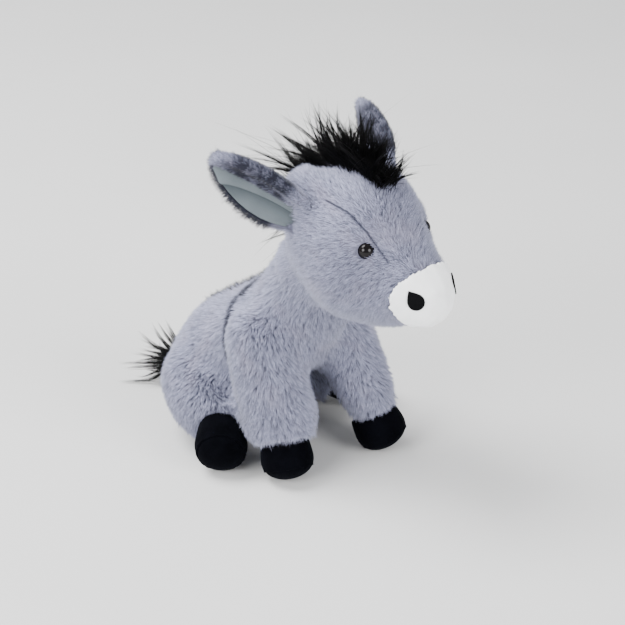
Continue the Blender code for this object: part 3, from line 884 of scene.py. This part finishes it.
def lie_of_pile(points, normals, distances):
    """The way the pile is brushed at each point, along the skin."""
    side = np.sign(points[:, :1] - MIDDLE)
    outward = side * np.array([1.0, 0, 0])
    down = np.tile([0.0, 0, -1.0], (len(points), 1))
    back = np.tile([0.0, 1.0, 0], (len(points), 1))
    low_on_head = ramp(-points[:, 2], -0.215, -0.165)[:, None]
    ways = {
        "head": unit(points - NOSE_TOP) + down * (0.15 + 0.75 * low_on_head),
        "neck": down + 0.15 * back,
        "trunk": down + 0.45 * back,
        "tail": back + 0.5 * down,
        "foreleg": down - 0.15 * back,
        "hindleg": 0.85 * down - 0.25 * back + 0.25 * outward,
    }
    weight = np.stack([np.exp(-distances[node] / LIE_BLEND) for node in FLESH])
    flow = sum(w[:, None] * ways[node.split("_")[0]] for w, node in zip(weight, FLESH))
    flow = unit(flow) + ruffled(points)
    flow -= normals * (flow * normals).sum(axis=1, keepdims=True)
    return unit(flow)


def lean_of_pile(distances):
    """Degrees that the pile leans: nearly flat where it hangs over a hoof or meets the muzzle."""
    cuff = 1 - ramp(distances["hooves"] / MM, CUFF_FROM, CUFF_TO)
    nose = 1 - ramp(distances["muzzle"] / MM, 0, LEAN_REACH)
    plain = HEAD_LEAN + (LEAN - HEAD_LEAN) * ramp(distances["head"] / MM, 0, LEAN_REACH)
    return plain + (CUFF_LEAN - plain) * cuff + (MUZZLE_LEAN - plain) * nose * (1 - cuff)


def seam_trim(points):
    """Part of its length that the pile keeps: less where a seam has caught it."""
    near = np.full(len(points), FAR)
    for seam, depth in TRIMMED_SEAMS:
        near = np.minimum(near, np.maximum(along_path(points, seam) - depth, 0))
    return SEAM_TRIM + (1 - SEAM_TRIM) * ramp(near, 0, TRIM_REACH)


points, normals = read(skin), read(skin, "normal")
around = distances_from(points)
pile = pile_depth(points, around) * seam_trim(points)
lie = lie_of_pile(points, normals, around)
lean = lean_of_pile(around)
region = np.argmin(np.stack([around[node] for node in FLESH]), axis=0)
print("pile fields on", len(points), "points")


# %% [markdown]
# The toy has dark lines: one along the back, and one over each shoulder from the nape, thick
# at first and thin further down. A tuft belongs to a line if its upper part lies over it,
# measured along the skin, so the line's own points may be a little above or below the pile.

# %% Dark lines
NAPE_WIDTH, BACK_WIDTH = (4.8, 3.6, 2.8, 1.2), (3.0, 3.6, 3.2, 1.6)  # half widths, mm
LINE_STOPS = (0, 0.45, 0.85, 1)    # shares of a line at which the half widths are given
LINE_SOFTNESS = 0.8                # mm over which a line's edge fades
LINE_DEPTH = 9                     # mm above or below a line that a point may be
TOO_DEEP = 4                       # mm aside that each mm beyond that counts for
RIDGE_RISE, RIDGE_LEAN = 3.2, 20.0  # the back's line is longer, mm, and stands up, degrees
RIDGE_EDGE = (3.0, 5.5)            # mm from its middle over which it does
SEAM_SHADE = 0.8                   # how dark the painted shade in the pile along the brow seam is
SEAM_EDGE = (0.3, 1.2)             # mm from the seam over which that fades


def over_path(points, normals, path):
    """Distance in mm to a mirrored path along the skin, and the share of the path passed."""
    side = np.where(points[:, :1] < MIDDLE, -1.0, 1.0)
    mirror = side * np.array([1.0, 0, 0]) + np.array([0, 1.0, 1.0])
    place = np.stack([points[:, 0] - MIDDLE, points[:, 1], points[:, 2]], axis=1) * mirror / MM
    out = normals * mirror

    def aside(off):
        """How far off a place is along the skin, and more so if it is far above or below."""
        depth = (off * out).sum(axis=1)
        along_skin = np.linalg.norm(off - out * depth[:, None], axis=1)
        return along_skin + TOO_DEEP * np.maximum(np.abs(depth) - LINE_DEPTH, 0)

    return nearest_stretch(place, path, aside)


def dark_marking(points, normals):
    """1 in the dark lines of the back and shoulders, some painted shade along the brow seam, 0 elsewhere."""
    dark = np.zeros(len(points))
    for path, widths in ((NAPE_STRIPE, NAPE_WIDTH), (BACK_STRIPE, BACK_WIDTH)):
        aside, passed = over_path(points, normals, path)
        width = np.interp(passed, LINE_STOPS, widths)
        dark = np.maximum(dark, 1 - ramp(aside, width - LINE_SOFTNESS, width + LINE_SOFTNESS))
    # Painted shade: the pile along the brow seam is darkened, as if the seam's crease shaded it.
    aside = over_path(points, normals, BROW_SEAM)[0]
    return np.maximum(dark, SEAM_SHADE * (1 - ramp(aside, *SEAM_EDGE)))


ridge = 1 - ramp(over_path(points, normals, BACK_STRIPE)[0], *RIDGE_EDGE)
pile = pile + RIDGE_RISE * ridge
lean = lean + (RIDGE_LEAN - lean) * ridge
print("dark share of the skin:", round(float(dark_marking(points, normals).mean()), 3))


# %% [markdown]
# Tufts are scattered evenly by area. Pile does not stand in rows: the fibres gather in small
# clumps whose tips meet, with thin darker gaps between, and that is what the eye reads as
# plush. So each tuft looks for the nearest of many clump centres and leans its tip
# towards the middle of that clump.

# %% Scatter and clump
def scatter(points, triangles, density, draw):
    """Random places on triangles: the triangle hit and the weights of its three corners."""
    a, b, c = (points[triangles[:, k]] for k in range(3))
    expected = np.linalg.norm(np.cross(b - a, c - a), axis=1) / 2 * density[triangles].mean(axis=1)
    total = int(expected.sum())
    steps = (np.arange(total) + draw.random(total)) / total * expected.sum()
    hit = np.minimum(np.searchsorted(np.cumsum(expected), steps), len(triangles) - 1)
    first, second = np.sqrt(draw.random(total)), draw.random(total)
    return hit, np.stack([1 - first, first * (1 - second), first * second], axis=1)


def nearest_of(points, centres):
    """The index of the centre nearest to each point."""
    finder = KDTree(len(centres))
    for k, centre in enumerate(centres):
        finder.insert(centre, k)
    finder.balance()
    return np.array([finder.find(point)[1] for point in points])


def blended(values, triangles, hit, weights):
    """Values of the vertices, blended at the places that were scattered."""
    corners = values[triangles[hit]]
    if values.ndim == 1:
        return (corners * weights).sum(axis=1)
    return (corners * weights[:, :, None]).sum(axis=1)


print("scatter ready")


# %% [markdown]
# The export paints each piece's colour into an image, so every tuft needs its own small patch
# of a UV map. The patch lies where the tuft's root is on an unwrap of the skin below it, so
# neighbours in the coat are neighbours in the map too. Smart UV Project unwraps a spare copy
# of the skin's region, which is then thrown away.

# %% Unwrap and tuft mesh
TUFT_PATCH = 0.003                  # side of a tuft's patch, as a part of the image
ROOT_DEPTH = 0.3                    # how far a tuft's root goes into the skin, mm
GOLDEN_TURN = 2.39996               # a turn that never brings two neighbours into line


def unwrap(points, triangles):
    """UV places of the triangles' corners on an unwrap of that part of the skin."""
    used, corners = np.unique(triangles, return_inverse=True)
    mesh = bpy.data.meshes.new("spare")
    mesh.from_pydata(points[used].tolist(), [], corners.reshape(-1, 3).tolist())
    spare = bpy.data.objects.new("spare", mesh)
    bpy.context.scene.collection.objects.link(spare)
    only(spare)
    bpy.ops.object.mode_set(mode="EDIT")
    bpy.ops.mesh.select_all(action="SELECT")
    bpy.ops.uv.smart_project(angle_limit=math.radians(70), island_margin=0.004)
    bpy.ops.object.mode_set(mode="OBJECT")
    flat = np.empty(len(triangles) * 6, np.float32)
    mesh.uv_layers[0].data.foreach_get("uv", flat)
    bpy.data.objects.remove(spare)
    return flat.reshape(-1, 3, 2).astype(float)


def mesh_of(name, points, faces, normals, uv):
    """A triangle mesh with its own normals and a bake map, from arrays."""
    mesh = bpy.data.meshes.new(name)
    mesh.vertices.add(len(points))
    mesh.vertices.foreach_set("co", points.astype(np.float32).ravel())
    mesh.loops.add(faces.size)
    mesh.loops.foreach_set("vertex_index", faces.astype(np.int32).ravel())
    mesh.polygons.add(len(faces))
    mesh.polygons.foreach_set("loop_start", np.arange(0, faces.size, 3, dtype=np.int32))
    mesh.update(calc_edges=True)
    layer = mesh.uv_layers.new(name="OFBake")
    layer.data.foreach_set("uv", uv[faces.ravel()].astype(np.float32).ravel())
    mesh.normals_split_custom_set_from_vertices(unit(normals).tolist())
    obj = bpy.data.objects.new(name, mesh)
    bpy.context.scene.collection.objects.link(obj)
    return obj


def tufts(name, roots, tips, normals, widths, softness, uv, tint, marking):
    """One mesh of closed three-sided spikes from roots to tips."""
    count = len(roots)
    way = unit(tips - roots)
    side = unit(np.cross(way, normals + 1e-4))
    lift = np.cross(way, side)
    spin = (np.arange(count) * GOLDEN_TURN)[:, None]
    corners, shading = [], []
    for k in range(3):
        turn = spin + 2 * math.pi * k / 3
        around_way = np.cos(turn) * side + np.sin(turn) * lift
        corners.append(roots + around_way * widths[:, None] - normals * ROOT_DEPTH * MM)
        shading.append(unit(normals * softness + around_way * (1 - softness)))
    corners.append(tips)
    shading.append(unit(normals * softness + way * (1 - softness)))
    points = np.stack(corners, axis=1).reshape(-1, 3)
    shading = np.stack(shading, axis=1).reshape(-1, 3)
    first = np.arange(count)[:, None, None] * 4
    faces = (first + np.array([(0, 1, 3), (1, 2, 3), (2, 0, 3), (2, 1, 0)])).reshape(-1, 3)
    half = TUFT_PATCH / 2
    patch = np.array([(-half, -half), (half, -half), (0, -half * 0.3), (0, half)])
    uv = np.clip(uv[:, None, :] + patch, 0.0005, 0.9995).reshape(-1, 2)
    obj = mesh_of(name, points, faces, shading, uv)
    carry(obj, height=np.tile([0.0, 0, 0, 1], count), tint=np.repeat(tint, 4),
          marking=np.repeat(marking, 4))
    return obj


print("tuft maker ready")


# %% [markdown]
# Growing a region brings the pieces together. The pile leans at an angle that shortens its
# rise, so a tuft is longer than the coat is deep. Tips are kept off the floor, and tufts
# that would run into a bead, a lining or the muzzle are left out, as a toy maker trims
# them; those that only pass over the muzzle's edge stay.

# %% Grow the body's coat
BODY_HABIT = (0.26, 0.64, 0.24, 0.15)   # clumps per mm2, gathering, tuft radius mm, stray
HEAD_HABIT = (0.55, 0.36, 0.20, 0.22)
EAR_HABIT = (0.40, 0.40, 0.20, 0.20)
SOFTNESS = 0.58                     # how much a tuft is shaded as the skin below it is
DENSITY = {"head": 2.9, "neck": 2.6, "trunk": 2.5, "tail": 2.4, "foreleg": 2.8, "hindleg": 2.5}
MARKED_AT = 0.7                     # share of its length at which a tuft takes up its markings and the brow seam's painted shade
CLUMP_TURN = 0.20                   # how far a clump as a whole turns from the lie of the pile
TIP_OFF_FLOOR = 0.25 * MM
OFF_LINING = 0.7 * MM
OFF_BEAD = 0.1 * MM
IN_CAP, CAP_REACH = 0.3 * MM, 3 * MM  # a point this deep, and this near, is in the muzzle
DOME_FROM, OFF_DOME = 1.6 * MM, 2.2 * MM  # the dome starts this far from the head; kept clear

cap_points, cap_normals = read(muzzle), read(muzzle, "normal")
cap_dome = reach(tree["head"], cap_points) > DOME_FROM


def clear_of_beads(roots, tips):
    """True where a tuft's root, middle and tip are all outside the bead eyes."""
    clear = np.ones(len(roots), bool)
    for centre, radius in bead_places.values():
        for share in (0.0, 0.5, 1.0):
            off = roots + (tips - roots) * share - np.array(centre)
            clear &= np.linalg.norm(off, axis=1) > radius + OFF_BEAD
    return clear


def clear_of_cap(points):
    """True where a point is neither inside the muzzle nor close over its dome."""
    nearest = nearest_of(points, cap_points)
    off = points - cap_points[nearest]
    away = np.linalg.norm(off, axis=1)
    inside = ((off * cap_normals[nearest]).sum(axis=1) < IN_CAP) & (away < CAP_REACH)
    return ~(inside | (cap_dome[nearest] & (away < OFF_DOME)))


def grow(name, points, normals, lie, lean, pile, density, triangles, seed, marking_of, habit):
    """Grows tufts on some triangles of a skin and returns them as one object."""
    clumps, gather, width, spread = habit
    draw = np.random.default_rng(seed)
    hit, weights = scatter(points, triangles, density, draw)
    roots = blended(points, triangles, hit, weights)
    normal = unit(blended(normals, triangles, hit, weights))
    flow = unit(blended(lie, triangles, hit, weights))
    rise = blended(pile, triangles, hit, weights) * MM
    angle = np.radians(blended(lean, triangles, hit, weights))
    corner_uv = unwrap(points, triangles)[hit]
    uv = (corner_uv * weights[:, :, None]).sum(axis=1)

    evenly = np.full(len(points), clumps / MM ** 2)
    centres = blended(points, triangles, *scatter(points, triangles, evenly, draw))
    clump = nearest_of(roots, centres)
    clump_tint, clump_turn = draw.random(len(centres)), draw.normal(0, 1, (len(centres), 3))
    clump_length = draw.normal(1, 0.1, len(centres))

    wander = clump_turn[clump] * CLUMP_TURN + draw.normal(0, spread, (len(roots), 3))
    flow = unit(flow + wander - normal * (wander * normal).sum(axis=1, keepdims=True))
    length = rise / np.cos(angle) * clump_length[clump] * draw.uniform(0.78, 1.1, len(roots))
    way = normal * np.cos(angle)[:, None] + flow * np.sin(angle)[:, None]
    tips = roots + way * length[:, None]
    marking = marking_of(roots + way * (MARKED_AT * length)[:, None], normal)
    middle = centres[clump] - roots
    middle -= normal * (middle * normal).sum(axis=1, keepdims=True)
    tips += middle * (gather * (1 - 0.8 * marking))[:, None]
    tips[:, 2] = np.maximum(tips[:, 2], TIP_OFF_FLOOR)
    clear = (reach(linings_tree, roots) > OFF_LINING) & clear_of_beads(roots, tips)
    if name.startswith("coat_head"):
        clear &= clear_of_cap(roots) & clear_of_cap(tips)
    tint = 0.74 + 0.38 * clump_tint[clump] ** 0.7 + draw.normal(0, 0.09, len(roots))
    widths = width * MM * draw.uniform(0.75, 1.2, len(roots))
    return tufts(name, roots[clear], tips[clear], normal[clear], widths[clear], SOFTNESS, uv[clear],
                 tint[clear], marking[clear])


def triangles_of(obj):
    """The vertices of each triangle of a mesh."""
    obj.data.calc_loop_triangles()
    flat = np.empty(len(obj.data.loop_triangles) * 3, np.int32)
    obj.data.loop_triangles.foreach_get("vertices", flat)
    return flat.reshape(-1, 3)


skin_triangles = triangles_of(skin)
triangle_region = np.where(around["muzzle"] < around["head"], -1, region)[skin_triangles[:, 0]]
right_half = points[skin_triangles].mean(axis=1)[:, 0] < MIDDLE
hidden = ramp(-normals[:, 2], 0.5, 0.9) * ramp(-points[:, 2], -0.10, -0.04)
buried = ramp(reach(ears_tree, points) / MM, 0.2, 0.5) * ramp(reach(hooves_tree, points) / MM, 0.3, 0.8)
BODY_SEED = 100
SPLIT = ("head", "trunk")           # their coats are made in two halves, to keep each one small
coats = []
for k, node in enumerate(FLESH):
    halves = (("_right", right_half), ("_left", ~right_half)) if node in SPLIT else (("", True),)
    density = DENSITY[node.split("_")[0]] / MM ** 2 * (1 - 0.6 * hidden) * (0.15 + 0.85 * buried)
    for half_name, half in halves:
        chosen = skin_triangles[(triangle_region == k) & half]
        coat = grow(f"coat_{node}{half_name}", points, normals, lie, lean, pile, density, chosen,
                    BODY_SEED + len(coats), dark_marking, HEAD_HABIT if node == "head" else BODY_HABIT)
        dress(coat, pile_plush)
        coats.append(coat)
        print(coat.name, len(coat.data.polygons), "faces")

# The skin under the coat takes nearly the dark root colour, painted shade for the shadow beneath the pile,
# and less of it beside the muzzle, where the pile is short.
outer = points + normals * (pile * MM)[:, None]
beside_cap = 1 - ramp(around["muzzle"] / MM, 1, 4)
carry(skin, height=0.2 + 0.45 * beside_cap, tint=np.full(len(points), 0.9),
      marking=dark_marking(outer, normals))
dress(skin, pile_plush)
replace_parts(skin, *FLESH)


# %% [markdown]
# ## Pile on the ears
# The back of each ear and its rolled edge are plush too, shorter than the body's and mottled
# dark: nearly black along the lower rim, patchy over the back, and pale again towards the
# tip. Noise with a grain of a few millimetres decides which tufts are dark, and along
# the rims the tufts stand out, so the edge looks fluffy.

# %% Ear coats
EAR_DENSITY = 4.2                  # tufts per mm2
EAR_LEAN, RIM_LEAN = 52.0, 16.0    # degrees
EAR_RISE, RIM_RISE = 1.9, 3.7      # mm
MOTTLE = 6.5 * MM                  # grain of the dark patches
FLECK = 1.5 * MM                   # grain of the single dark tufts among them
EAR_SEED = 300
UNDER_CLOTH = 4.5 * MM             # no pile grows this near behind the lining
DROOP = 1.4                        # how strongly the lower fringe is brushed down


def speckled(points, grain):
    """Soft noise from 0 to 1 with a grain of that size."""
    return np.array([0.5 + 0.5 * soft_noise.noise(Vector(point / grain)) for point in points])


def ear_marking(side):
    """How dark the pile of one ear is, as a function of its points."""
    def marking_of(points, normals):
        """Full on the lower rim, patchy over the back and paler towards the tip."""
        share, across, _ = in_ear(points, side)
        grain = 0.5 * speckled(points, MOTTLE) + 0.5 * speckled(points, FLECK)
        patchy = (0.6 + 0.37 * ramp(grain, 0.32, 0.6)) * (1.0 - 0.7 * ramp(share, 0.72, 0.95))
        patchy *= ramp(share, -0.02, 0.16)
        upper_line = 0.75 * ramp(across, 15, 19) * ramp(share, 0.05, 0.2)
        lower_rim = 0.96 * ramp(-across, 7.5, 10.5) * ramp(share, 0.0, 0.1)
        tip_line = 0.6 * ramp(share, 0.95, 1.0)
        return np.clip(np.maximum.reduce([patchy, lower_rim, tip_line, upper_line * grain * 1.5]), 0, 0.97)
    return marking_of


for side, sign in SIDES:
    ear = ears[side]
    ear_points, ear_normals = read(ear), read(ear, "normal")
    _, _, along, over_ear, away = EAR_AXES[side]
    share, across, _ = in_ear(ear_points, side)
    sideways = np.clip(across / 20 - DROOP * ramp(-across, 5, 10), -2.2, 0.9)
    flow = along + over_ear * sideways[:, None] - away * 0.1
    flow = unit(flow - ear_normals * (flow * ear_normals).sum(axis=1, keepdims=True))
    gap = nearest_on(lining_tree[side], ear_points) - ear_points
    under_cloth = (unit(gap) * ear_normals).sum(axis=1) > 0.45
    under_cloth &= np.linalg.norm(gap, axis=1) < UNDER_CLOTH
    under_cloth &= across < roll_line(share) + 0.8
    rim = 1 - ramp(np.abs((ear_normals * away).sum(axis=1)), 0.2, 0.75)
    rim = np.maximum(rim * ramp(np.abs(across), 4, 9), ramp(share, 0.86, 0.97))
    long_pile = np.maximum(rim, ramp(-across, 5, 9) * ramp(share, 0.0, 0.15))
    ear_triangles = triangles_of(ear)
    open_to_air = ~under_cloth[ear_triangles].all(axis=1)
    density = np.full(len(ear_points), EAR_DENSITY / MM ** 2)
    ear_lean = EAR_LEAN + (RIM_LEAN - EAR_LEAN) * rim
    ear_rise = EAR_RISE + (RIM_RISE - EAR_RISE) * long_pile
    coat = grow(f"coat_ear_{side}", ear_points, ear_normals, flow, ear_lean, ear_rise, density,
                ear_triangles[open_to_air], EAR_SEED + sign, ear_marking(side), EAR_HABIT)
    dress(coat, pile_plush)
    # The ear's leaf under its pile takes nearly the root colour too: painted shade.
    carry(ear, height=np.full(len(ear_points), 0.25), tint=np.full(len(ear_points), 0.9),
          marking=ear_marking(side)(ear_points + ear_normals * EAR_PILE * MM, ear_normals))
    dress(ear, pile_plush)
    print(coat.name, len(coat.data.polygons), "faces")


# %% [markdown]
# ## Mane and tail
# Long synthetic hair is sewn in as a strip: dense and dark at its foot, where short fibres fill
# it, and higher up it parts into thin curved wisps. A wisp could be one twisted blade, but
# against the light each fibre shows, so every fibre is a thin closed tube, tapered, and
# pulled towards its wisp.

# %% Strands
STRAND_STEPS = 6                    # points along a fibre


def strands(name, paths, radii, tint):
    """One mesh of closed three-sided tapered tubes along paths (strand, step, xyz)."""
    count, steps, _ = paths.shape
    way = unit(np.gradient(paths, axis=1))
    side = unit(np.cross(way, np.array([0.31, 0.87, 0.38])))
    lift = np.cross(way, side)
    rings, shading = [], []
    for k in range(3):
        turn = 2 * math.pi * k / 3
        out = math.cos(turn) * side + math.sin(turn) * lift
        rings.append((paths + out * radii[:, :, None])[:, :-1])
        shading.append(out[:, :-1])
    body = np.stack(rings, axis=2).reshape(count, -1, 3)
    points = np.concatenate([body, paths[:, -1:]], axis=1)
    normals = np.concatenate([np.stack(shading, axis=2).reshape(count, -1, 3), way[:, -1:]], axis=1)
    faces = [(2, 1, 0)]
    for step in range(steps - 2):
        for k in range(3):
            a, b = 3 * step + k, 3 * step + (k + 1) % 3
            faces += [(a, b, b + 3), (a, b + 3, a + 3)]
    last, tip = 3 * (steps - 2), 3 * (steps - 1)
    faces += [(last + k, last + (k + 1) % 3, tip) for k in range(3)]
    per = tip + 1
    faces = (np.arange(count)[:, None, None] * per + np.array(faces)).reshape(-1, 3)
    columns = math.ceil(math.sqrt(count))
    corner = np.stack([np.arange(count) % columns, np.arange(count) // columns], axis=1) / columns
    level = np.append(np.repeat(np.arange(steps - 1), 3), steps - 1) / (steps - 1)
    spread = np.append(np.tile(np.arange(3) / 2, steps - 1), 0.5)
    uv = corner[:, None, :] + np.stack([spread, level], axis=1) * 0.8 / columns
    obj = mesh_of(name, points.reshape(-1, 3), faces, normals.reshape(-1, 3), uv.reshape(-1, 2))
    carry(obj, tint=np.repeat(tint, per))
    return obj


def wisp(root, way, length, count, spread, gather, bend, draw):
    """Paths of the fibres of one wisp: they leave a patch of cloth and close up to the tip."""
    t = np.linspace(0, 1, STRAND_STEPS)[None, :, None]
    foot = draw.normal(0, 1, (count, 3)) * spread
    own = draw.normal(0, 1, (count, 3)) * 0.06 * length
    share = draw.uniform(0.5, 1.0, (count, 1, 1)) ** 0.5
    axis = root + way * t * share * length + bend * length * (t * share) ** 2
    return axis + foot[:, None, :] * (1 - gather * t ** 0.7) + own[:, None, :] * t ** 1.5 * (1.15 - gather)


def fibre_radii(count, thick, draw):
    """Radii along each fibre, from its root to its thin end."""
    level = np.linspace(0, 1, STRAND_STEPS)
    return thick * MM * draw.uniform(0.7, 1.25, (count, 1)) * (1 - level ** 1.5 * 0.85)[None, :]


print("strand maker ready")


# %% [markdown]
# The mane stands on the middle of the skull from the forehead over the crown to the nape. It
# follows the skull's ellipse, leans a little to either side and is longest on the crown. A
# wisp bends its own way, and the ones at the two ends curl away from the rest.

# %% Mane
CROWN_MIDDLE = (-89.5, 189)        # (y, z) of the skull, mm
CROWN_REACH = (46.5, 56)           # radii of the skull in y and z, mm
MANE_FROM, MANE_TO = 27, -112       # degrees from straight up, forward first
MANE_WISPS, WISP_FIBRES = 130, 20
MANE_HALF_WIDTH = 6.5              # of the strip of hair, mm
MANE_SINK = 6.5                    # how deep the hair starts below the skull's line, mm
MANE_LENGTH = (38, 70)             # at the ends and on the crown, mm
DENSE_FIBRES, DENSE_LENGTH = 3600, (29, 42)
DENSE_BUNCH = 30                   # fibres that start together
LOOSE_FIBRES = 260
WISP_FOOT, DENSE_FOOT, LOOSE_FOOT = (1.3, 1.5, 1.0), (2.6, 3.0, 1.4), (2.0, 2.0, 1.0)  # mm
FIBRE = 0.22                       # radius of a fibre at its root, mm
MANE_SEED = 41


def on_crown(angle, lower):
    """A point below the middle line of the skull, the way out of it and the way along it."""
    turn = np.radians(angle)
    (y, z), (deep, high) = CROWN_MIDDLE, CROWN_REACH
    out = unit(np.array([0, -np.sin(turn) / deep, np.cos(turn) / high]))
    point = np.array([MIDDLE / MM, y - deep * np.sin(turn), z + high * np.cos(turn)])
    return point - out * lower, out, np.array([0, -out[2], out[1]])


def mane_wisp(share, count, length, spread, gather, curl, draw):
    """A wisp at a share of the strip, from the forehead to the nape."""
    foot, out, forward = on_crown(MANE_FROM + (MANE_TO - MANE_FROM) * share, MANE_SINK)
    aside = draw.uniform(-1, 1)
    width = MANE_HALF_WIDTH * (0.5 + 0.5 * math.sin(math.pi * min(1, share + 0.12)) ** 0.5)
    foot = foot + np.array([aside * width, 0, 0])
    sideways = np.array([1.0, 0, 0])
    way = unit(out + sideways * (aside * 0.32 + draw.normal(0, 0.08)) + forward * draw.normal(0.02, 0.15))
    end = np.sign(0.5 - share) * abs(2 * share - 1) ** 3
    bend = (sideways * draw.normal(aside * 0.12, 0.34) + forward * draw.normal(min(end, 0.0) * 0.30, 0.34)
            - out * abs(end) * 0.25) * curl
    return wisp(foot, way, length, count, spread, gather, bend, draw)


def fullness(share):
    """1 on the crown and less towards the two ends of the strip."""
    return math.sin(math.pi * (0.12 + 0.84 * share) ** 1.4) ** 0.7


draw = np.random.default_rng(MANE_SEED)
thin_out = 1
paths, shades = [], []
for k in range(MANE_WISPS):
    share = (k + draw.uniform(0, 1)) / MANE_WISPS
    length = MANE_LENGTH[0] + (MANE_LENGTH[1] - MANE_LENGTH[0]) * fullness(share)
    length *= 0.52 + 0.5 * draw.random() ** 1.2
    count = int(WISP_FIBRES * draw.uniform(0.5, 1.2)) // thin_out
    paths.append(mane_wisp(share, count, length, WISP_FOOT, 0.94, 1.0, draw))
    shades.append(np.full(count, draw.uniform(0.1, 0.7)))
for k in range(DENSE_FIBRES // DENSE_BUNCH):
    share = draw.random()
    longer = (DENSE_LENGTH[1] - DENSE_LENGTH[0]) * fullness(share) * draw.uniform(0.75, 1.15)
    count = DENSE_BUNCH // thin_out
    paths.append(mane_wisp(share, count, DENSE_LENGTH[0] + longer, DENSE_FOOT, 0.3, 0.6, draw))
    shades.append(draw.uniform(0, 0.4, count))
for k in range(LOOSE_FIBRES // thin_out):
    share = draw.random()
    length = MANE_LENGTH[1] * fullness(share) * draw.uniform(0.5, 1.0)
    paths.append(mane_wisp(share, 1, length, LOOSE_FOOT, 0.0, 1.5, draw))
    shades.append(draw.uniform(0.2, 0.8, 1))
mane_paths = np.concatenate(paths) * MM
mane = strands("mane_hair", mane_paths, fibre_radii(len(mane_paths), FIBRE, draw), np.concatenate(shades))
dress(mane, black_hair)
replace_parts(mane, "mane")
print("mane:", len(mane_paths), "fibres,", len(mane.data.polygons), "faces")


# %% [markdown]
# The tail ends in the same hair. It leaves the stem in a bundle, fans out and sinks to the
# floor, where the lowest wisps lie. Anything that would go through the floor is laid on it.

# %% Tail tuft
TAIL_END = np.array((0, 115, 21))   # from the middle plane, mm
TUFT_WISPS, TUFT_DENSE = 46, 20     # long wisps, and short full ones between them
WISP_COUNT, DENSE_COUNT = 22, 44    # fibres in each
TUFT_LENGTH = 47                    # mm
TUFT_FOOT = (2.2, 1.5, 2.2)         # patch that the fibres of a wisp leave, mm
FLOOR_CLEARANCE = 0.5               # mm

paths, shades = [], []
for k in range(TUFT_WISPS + TUFT_DENSE):
    short = k >= TUFT_WISPS
    turn = GOLDEN_TURN * k
    off = math.sqrt((k % TUFT_WISPS + 0.5) / TUFT_WISPS)
    fan = np.array([0.55 * off * math.cos(turn), 1, 0.42 * off * math.sin(turn) - 0.12])
    foot = TAIL_END + np.array([MIDDLE / MM + 5 * off * math.cos(turn), -7, 5 * off * math.sin(turn)])
    length = TUFT_LENGTH * (draw.uniform(0.45, 0.62) if short else draw.uniform(0.72, 1.06))
    count = (DENSE_COUNT if short else WISP_COUNT) // thin_out
    bend = np.array([draw.normal(0, 0.22), 0, draw.normal(0.02, 0.22)])
    gather = 0.4 if short else 0.93
    paths.append(wisp(foot, unit(fan), length, count, TUFT_FOOT, gather, bend, draw))
    shades.append(np.full(count, draw.uniform(0.1, 0.7)))
tuft_paths = np.concatenate(paths)
level = np.linspace(0, 1, STRAND_STEPS)[None, :]
tuft_paths[:, :, 2] -= 4 * level ** 2
heap = FLOOR_CLEARANCE + 2.5 * draw.random((len(tuft_paths), 1))
tuft_paths[:, :, 2] = np.maximum(tuft_paths[:, :, 2], heap)
tuft_radii = fibre_radii(len(tuft_paths), FIBRE, draw)
tuft = strands("tail_hair", tuft_paths * MM, tuft_radii, np.concatenate(shades))
dress(tuft, black_hair)
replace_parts(tuft, "tail_tuft")
print("tail tuft:", len(tuft_paths), "fibres,", len(tuft.data.polygons), "faces")
